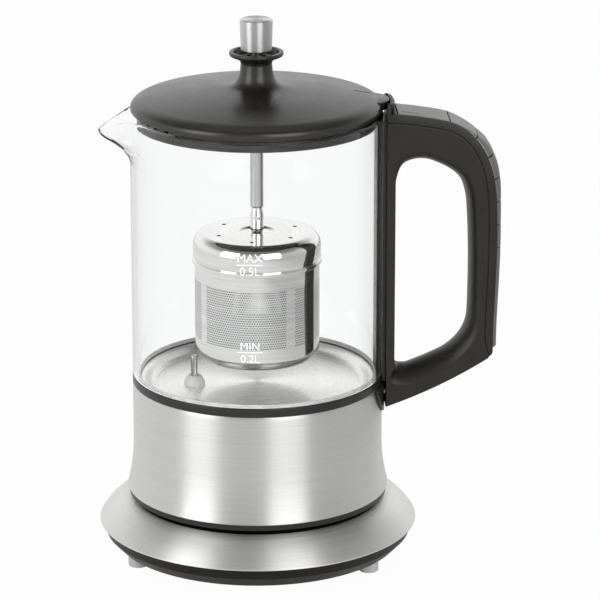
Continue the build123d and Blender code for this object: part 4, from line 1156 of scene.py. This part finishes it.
def frame_corners(back):
    """Rings of the rounded opening from its middle outwards, and the frame's outer edges to the seam."""
    hole = rounded([HOLE[-1]] + HOLE + [HOLE[0]], 14)[1:-1]
    # Width of the rounding: narrow at the bar, broad at the grip, a little less on top
    narrow, broad, top_loss, bar_side, blend, flattening = 0.4, 5.2, 0.8, 0.97, 0.55, 24
    wide, bend = [], []
    for spot, outward in zip(hole, inset(hole, -1.0)):
        way = (Vector(outward) - Vector(spot)).normalized()
        share = min(1.0, max(0.0, (way.x + bar_side) / blend))
        wide.append(narrow + (broad - top_loss * way.y) * share * share * (3 - 2 * share))
        bend.append(math.radians(90 - flattening * max(0.0, -way.y)))
    rings, steps, border, edge = [(hole, 0.0)], 10, 0.3, 0.09
    for step in range(1, steps + 1):
        depths = [-r * (1 - math.cos(a * step / steps)) / (1 - math.cos(a)) for r, a in zip(wide, bend)]
        heights = [HALF_WIDTH * math.sin(a * step / steps) / math.sin(a) for a in bend]
        rings.append((inset(hole, depths), heights))
    rings.append((inset(hole, [-r - border for r in wide]), HALF_WIDTH))
    outer = frame_outline(back)
    edges = [(inset(outer, 0.65), HALF_WIDTH), (inset(outer, border), HALF_WIDTH),
             (inset(outer, edge), HALF_WIDTH - edge), (outer, HALF_WIDTH - border)]
    return rings, edges


def frame_mesh(back):
    """Mesh of the handle's frame in metres."""
    rings, edges = frame_corners(back)
    build = bmesh.new()

    def ring(loop, height, side):
        heights = height if isinstance(height, list) else [height] * len(loop)
        return [build.verts.new((x * MM, side * h * MM, z * MM)) for (x, z), h in zip(loop, heights)]

    def bridge(one, two):
        for number in range(len(one)):
            after = (number + 1) % len(one)
            build.faces.new((one[number], one[after], two[after], two[number]))

    def border(loop):
        return [build.edges.get((a, b)) for a, b in zip(loop, loop[1:] + loop[:1])]

    middle = ring(*rings[0], 1)
    rims = []
    for side in (1, -1):
        before = middle
        for loop, height in rings[1:]:
            now = ring(loop, height, side)
            bridge(before, now)
            before = now
        flats = [ring(loop, height, side) for loop, height in edges]
        for one, two in zip(flats, flats[1:]):
            bridge(one, two)
        bmesh.ops.triangle_fill(build, use_beauty=True, edges=border(before) + border(flats[0]))
        rims.append(flats[-1])
    bridge(*rims)
    mesh = bpy.data.meshes.new("handle_grip")
    build.to_mesh(mesh)
    build.free()
    return mesh


def swept(back, section, shapes):
    """A section swept along the back; each of its columns gives its depth from the station's shape."""
    lines = [inside(back, [depth(*shape) for shape in shapes]) for y, depth in section]
    corners = [(line[number][0], y, line[number][1]) for number in range(len(back))
               for line, (y, depth) in zip(lines, section)]
    return corners, layered(len(section), len(back))


def both_sides(columns):
    """A whole section from its columns on one side."""
    return columns + [(-y, depth) for y, depth in reversed(columns)]


def cover_mesh(back, whole):
    """The cover: two rails and a channel floor, rising at the head and rounded at the tip."""
    foot, tip, tip_share, shut = 2.6, 2.4, 0.8, 3.0
    channel, floor_sheet, top_sheet = 2.4, 0.8, 0.4
    shapes = []
    for seam, run in zip(seam_depths(back), distances(back)):
        short = max(0.0, foot - run)
        over = max(0.0, run - whole + tip)
        top = math.sqrt(foot ** 2 - short ** 2) - foot
        top += tip_share * (tip - math.sqrt(max(0.0, tip ** 2 - over * over)))
        top = min(top, seam - top_sheet)
        ground = min(channel, seam - floor_sheet) if whole - run > shut else max(0.0, top)
        shapes.append((top, ground, seam))
    half, rail, edge, bend = HALF_WIDTH, 9.45, 0.3, 0.09
    section = both_sides([
        (half - edge, lambda top, ground, low: low), (half, lambda top, ground, low: low - edge),
        (half, lambda top, ground, low: top + edge), (half - bend, lambda top, ground, low: top + bend),
        (half - edge, lambda top, ground, low: top), (rail, lambda top, ground, low: top),
        (rail, lambda top, ground, low: ground)])
    return swept(back, section, shapes)


def strip_mesh(back, first, last, under=0.6):
    """A length of the crowned strip, rounded across and softened at its ends."""
    ends, drops, margin, pitch = (0, 0.08, 0.25), (0.35, 0.1, 0.02), 0.5, 1.1
    places = [first + end for end in ends] + stepped(first + margin, last - margin, pitch)
    places += [last - end for end in reversed(ends)]
    fall = list(drops) + [0.0] * (len(places) - 2 * len(drops)) + list(reversed(drops))
    shapes = [(eased(place, CROWN), drop, under) for place, drop in zip(places, fall)]
    edge, bend, shoulder = 9.3, 0.12, 0.15

    def across(share):
        bow = 1 - share ** 6
        return lambda rise, drop, low: drop - shoulder - (rise - shoulder) * bow

    section = [(edge - bend, lambda rise, drop, low: low), (edge, lambda rise, drop, low: low - bend),
               (edge, lambda rise, drop, low: drop)]
    section += [(edge * share, across(share)) for share in (0.985, 0.95, 0.9, 0.82, 0.72, 0.58, 0.4, 0.2)]
    return swept(strip_stations(back, places), both_sides(section), shapes)


def dash_mesh(back):
    """A short dash pressed into the long key, in near-black painted shade for a gap."""
    places = stepped(2.4, 9.6, 0.8)
    sunk, proud, bow, left, right = 0.05, 0.04, 0.976, -5.2, -4.8
    section = [(left, lambda rise: sunk - rise), (right, lambda rise: sunk - rise),
               (right, lambda rise: -proud - bow * rise), (left, lambda rise: -proud - bow * rise)]
    return swept(strip_stations(back, places), section, [(eased(place, CROWN),) for place in places])


def head_tools(low):
    """The handle's head: the collar that wraps round the lid's tab, and the block under it."""
    side = [(57.5, 0), (57.42, 2.5), (57.25, 5), (57.0, 7.2), (56.6, 8.8), (56.0, 9.8), (55.2, 10.35),
            (54.4, 10.5), (53.9, 10.5)]
    plan = [(x, -y) for x, y in reversed(side)] + side[1:]
    levels = ((0, 192.2), (0, 195.9), (0.1, 196.25), (0.3, 196.5), (0.6, 196.65), (1.0, 196.7))
    block = [(53.9, -10.5), (57.9, -10.5), (57.9, 10.5), (53.9, 10.5)]
    return tool(*risen(plan[::-1], levels)), tool(*risen(block[::-1], ((0, low), (0, 192.55))))


def tab_tool():
    """The round pocket in the handle's head that holds the lid's tab."""
    centre, radius, low, high = 44.27, 11.53, 193.25, 200
    corners, faces = round_bar(radius, low, high, 128)
    return tool(moved(corners, centre, 0), faces)


def placed_rod(back, distance, radius, low, high):
    """A round tool that points straight into the handle's back at a distance along it."""
    (x, z), (ahead_x, ahead_z) = strip_stations(back, [distance, distance + 0.1])
    inward = Vector((ahead_z - z, 0, x - ahead_x)).normalized()
    turn = inward.to_track_quat("Z", "Y").to_matrix()
    corners, faces = round_bar(radius, low, high, 32)
    return tool([tuple(turn @ Vector(corner) + Vector((x, 0, z))) for corner in corners], faces)


def band_tool(back, first, last, high, low, half):
    """A tool along the handle's back between two distances and two depths."""
    spots = strip_stations(back, stepped(first, last, 1.5))
    return slab_tool(inside(spots, high), inside(spots, low), half)


class TEA_OT_handle(Operator):
    """Builds the handle's frame and cover and dresses its strips and keys."""

    bl_idname = "tea.handle"
    bl_label = "Handle and keys"

    def execute(self, context):
        plastic = black_plastic(context, "handle_plastic", roughness=(0.32, 0.44), grain=0.25)
        back = back_line()
        whole = distances(back)[-1]
        key_middles = [KEY_FIRST + KEY_PITCH * (number + 0.5) for number in range(KEY_COUNT)]
        self.frame_and_cover(back, whole, key_middles, plastic)
        recoat(plastic, "handle_spine", "handle_saddle")
        soften(0.3, "handle_spine", "handle_saddle")
        self.strips(context, back, whole, key_middles)
        recoat(satin_steel(), "handle_screws", "release_pin", "release_spring")
        recoat(circuit_green(), "key_board")
        # The hidden switches take the near-black painted gap shade.
        recoat(gap_shade_black(), "key_switches")
        return {"FINISHED"}

    def frame_and_cover(self, back, whole, key_middles, plastic):
        """The frame with its room for switches, and the cover with its head, pocket and key holes."""
        rows = stepped(0, 4, 0.25) + stepped(5.2, whole - 4.5, 1.5) + stepped(whole - 4, whole - 0.01, 0.2)
        rows = stations(back, rows)
        grip = dress(frame_mesh(rows), "handle_grip", plastic, "kettle", ["handle_frame"],
                     sharp=30)
        carve(grip, [band_tool(back, first=3.0, last=100.0, high=3.1, low=8.3, half=6.0)])
        cover = make_piece("handle_band", *cover_mesh(rows, whole), plastic, "kettle", "black_plastic",
                           ["handle_cover"], sharp=30)
        carve(cover, head_tools(low=189.05), "UNION")
        cutters = [tab_tool(), band_tool(back, first=3.0, last=23.8, high=-3.0, low=4.6, half=6.0)]
        cutters += [placed_rod(back, middle, radius=1.75, low=0.5, high=6.0) for middle in key_middles]
        carve(cover, cutters)

    def strips(self, context, back, whole, key_middles):
        """The plain strips, the five keys with their stems and the long release key with its foot."""
        plastic = black_plastic(context, "strip_plastic", roughness=(0.28, 0.38), grain=0.2, gloss=3.0)
        last = whole - STRIP_START - 3.6
        for name, start, end, node in (("strip_top", 23.2, 35.8, "strip_upper"),
                                       ("strip_low", 85.7, last, "strip_lower")):
            make_piece(name, *strip_mesh(back, start, end), plastic, "kettle", "black_plastic", [node])
        for number, middle in enumerate(key_middles, 1):
            start = middle - KEY_PITCH / 2
            body = strip_mesh(back, start + KEY_START, start + KEY_END)
            key = make_piece("button_%d" % number, *body, plastic, "key_body_%d" % number, "black_plastic",
                             ["key_%d" % number])
            carve(key, [placed_rod(back, middle, radius=1.5, low=0.3, high=4.2)], "UNION")
        rocker = make_piece("release_rocker", *strip_mesh(back, 0.85, 22.8, under=1.2), plastic, "release",
                            "black_plastic", ["release_key"])
        carve(rocker, [band_tool(back, first=17.8, last=22.2, high=0.9, low=5.9, half=4.5)], "UNION")
        # The release key's dash is near-black painted shade for a gap.
        make_piece("release_dash", *dash_mesh(back), gap_shade_black(), "release", "black_plastic")


# ------------------------------------------------------------ stage
# Light round the tea maker: place as a share of a turn (0 front, 0.25 left, 0.5 behind) and level
ROUND_LIGHT = [(0.0, 0.50), (0.14, 0.52), (0.22, 0.85), (0.36, 0.95), (0.42, 1.0), (0.60, 1.0), (0.66, 0.75),
               (0.78, 0.58), (0.90, 0.48), (1.0, 0.50)]
# Share of the ceiling's grey in the light, by the height of its direction
CEILING_SHARE = [(0.40, 0.0), (0.70, 0.9), (0.80, 0.9), (0.97, 0.55)]
CEILING_GREY = 0.16


class TEA_OT_stage(Operator):
    """Sets the white floor, the soft lamps, the surroundings and the camera."""

    bl_idname = "tea.stage"
    bl_label = "Stage"

    def execute(self, context):
        look = context.scene.tea_maker.stage
        self.camera(context.scene, look)
        self.floor(look)
        self.surroundings(context.scene)
        for name, azimuth, width in (("lamp_left", -52, 0.82), ("lamp_right", 27.5, 0.88)):
            self.lamp(name, math.radians(azimuth) - look.turn, width, look.lamp)
        context.scene.view_settings.view_transform = "Standard"
        return {"FINISHED"}

    def camera(self, scene, look):
        """The camera looks down at the tea maker from the front."""
        lens = bpy.data.cameras.new("camera")
        lens.lens = look.lens
        lens.sensor_width = 36
        lens.clip_start, lens.clip_end = 0.05, 50
        camera = new_object("camera", lens)
        back, side, up, down = 1.489, 0.01808, 0.5694, 17.15
        cos, sin = math.cos(look.turn), math.sin(look.turn)
        camera.location = (side * cos - back * sin, -side * sin - back * cos, up)
        camera.rotation_euler = (math.radians(90 - down), 0, -look.turn)
        scene.camera = camera

    def lamp(self, name, azimuth, width, power):
        """A soft rectangular lamp that faces the tea maker; azimuth runs from the camera's side."""
        height, elevation, distance, middle = 1.3, 20, 1.5, 0.11
        light = bpy.data.lights.new(name, "AREA")
        light.shape = "RECTANGLE"
        light.size, light.size_y = width, height
        light.energy = power
        lamp = new_object(name, light)
        rise = math.radians(elevation)
        level = math.cos(rise)
        away = Vector((math.sin(azimuth) * level, -math.cos(azimuth) * level, math.sin(rise)))
        lamp.location = away * distance + Vector((0, 0, middle))
        lamp.rotation_mode = "QUATERNION"
        lamp.rotation_quaternion = away.to_track_quat("Z", "Y")
        lamp.visible_camera = False

    def floor(self, look):
        """White floor that keeps the tea maker's shadow."""
        half, roughness, mirror_share = 6.0, 0.6, 0.97
        mesh = bpy.data.meshes.new("floor")
        corners = [(-half, -half, 0), (half, -half, 0), (half, half, 0), (-half, half, 0)]
        mesh.from_pydata(corners, [], [(0, 1, 2, 3)])
        floor = new_object("floor", mesh)
        finish = Finish("floor_white", tuple(look.floor), roughness)
        shown, mirrored = self.paths(finish.node)
        spot = finish.node("TexCoord").outputs["Object"]
        slope = finish.node("VectorMath", {0: spot, 1: (1, 0, 0)}, operation="DOT_PRODUCT").outputs["Value"]
        # For mirrored rays the floor glows grey, 0.80 at x = 0.02 m falling to 0.50 at x = 0.32 m, with no
        # shadow: painted light that the polished steel reflects.
        grey = finish.spread(slope, low=0.80, high=0.50, in_low=0.02, in_high=0.32)
        colour = finish.node("Mix", {0: shown, 6: grey, 7: (1, 1, 1, 1)}, data_type="RGBA").outputs[2]
        glow = finish.node("Emission", {"Color": colour}).outputs["Emission"]
        either = finish.node("Math", {0: shown, 1: mirrored}, operation="ADD", use_clamp=True).outputs[0]
        share = finish.node("Math", {0: either, 1: mirror_share}, operation="MULTIPLY").outputs[0]
        mix = finish.node("MixShader", {"Fac": share, 1: finish.shader.outputs["BSDF"], 2: glow})
        output = finish.tree.nodes["Material Output"]
        finish.tree.links.new(mix.outputs["Shader"], output.inputs["Surface"])
        mesh.materials.append(finish.material)

    def paths(self, node):
        """Two shares: what the camera sees straight or through glass, and what polished pieces mirror."""
        path = node("LightPath").outputs

        def compare(output, operation):
            return node("Math", {0: path[output], 1: 0.5}, operation=operation).outputs[0]

        def both(first, second):
            return node("Math", {0: first, 1: second}, operation="MULTIPLY").outputs[0]

        undiffused = compare("Diffuse Depth", "LESS_THAN")
        unmirrored = compare("Glossy Depth", "LESS_THAN")
        clear = both(both(path["Is Transmission Ray"], unmirrored), undiffused)
        seen = node("Math", {0: path["Is Camera Ray"], 1: clear}, operation="MAXIMUM").outputs[0]
        return seen, both(compare("Glossy Depth", "GREATER_THAN"), undiffused)

    def surroundings(self, scene):
        """White behind the tea maker, light on the left, darker in front and on the right."""
        world = bpy.data.worlds.new("surroundings")
        world.use_nodes = True
        scene.world = world
        tree = world.node_tree
        tree.nodes.clear()

        def node(kind, inputs=None, **values):
            return new_node(tree, kind, inputs, **values)

        spot = node("TexCoord").outputs["Generated"]
        parts = node("SeparateXYZ", {0: spot}).outputs
        turn = node("Math", {0: parts["X"], 1: parts["Y"]}, operation="ARCTAN2").outputs[0]
        scaled = node("MapRange", {"Value": turn, "From Min": -PI, "From Max": PI}).outputs["Result"]
        ramp = node("ValToRGB", {"Fac": scaled})
        fill_ramp(ramp, ROUND_LIGHT)
        high = node("ValToRGB", {"Fac": parts["Z"]})
        fill_ramp(high, CEILING_SHARE)
        grey = (CEILING_GREY, CEILING_GREY, CEILING_GREY, 1)
        sky = node("Mix", {0: high.outputs["Color"], 6: ramp.outputs["Color"], 7: grey}, data_type="RGBA")
        studio = node("Background", {"Color": sky.outputs[2]}).outputs[0]
        white = node("Background", {"Color": (1, 1, 1, 1)}).outputs[0]
        mix = node("MixShader", {"Fac": self.paths(node)[0], 1: studio, 2: white})
        node("OutputWorld", {"Surface": mix.outputs[0]})


# ------------------------------------------------------------ panel and registration
STEPS = (TEA_OT_stage, TEA_OT_base, TEA_OT_body, TEA_OT_floor_plate, TEA_OT_jug, TEA_OT_level_marks,
         TEA_OT_lid, TEA_OT_lift, TEA_OT_cap, TEA_OT_basket, TEA_OT_handle)
GROUPS = (SteelSettings, PlasticSettings, GlassSettings, BasketSettings, StageSettings, TeaMakerSettings)


class VIEW3D_PT_tea_maker(Panel):
    """Lists the tea maker's pieces and settings."""

    bl_label = "Tea maker"
    bl_idname = "VIEW3D_PT_tea_maker"
    bl_space_type = "VIEW_3D"
    bl_region_type = "UI"
    bl_category = "Tea maker"

    def draw(self, context):
        look = context.scene.tea_maker
        for group in (look.steel, look.plastic, look.glass, look.basket, look.stage):
            box = self.layout.box()
            for name in group.__annotations__:
                box.prop(group, name)
        for step in STEPS:
            self.layout.operator(step.bl_idname)


def register():
    """Register the settings, operators and panel."""
    for kind in GROUPS + STEPS + (VIEW3D_PT_tea_maker,):
        bpy.utils.register_class(kind)
    bpy.types.Scene.tea_maker = PointerProperty(type=TeaMakerSettings)


def unregister():
    """Remove the settings, operators and panel."""
    del bpy.types.Scene.tea_maker
    for kind in reversed(GROUPS + STEPS + (VIEW3D_PT_tea_maker,)):
        bpy.utils.unregister_class(kind)


def main():
    """Build the tea maker."""
    register()
    for step in STEPS:
        group, name = step.bl_idname.split(".")
        getattr(getattr(bpy.ops, group), name)()
    bpy.context.view_layer.update()


if __name__ == "__main__":
    main()
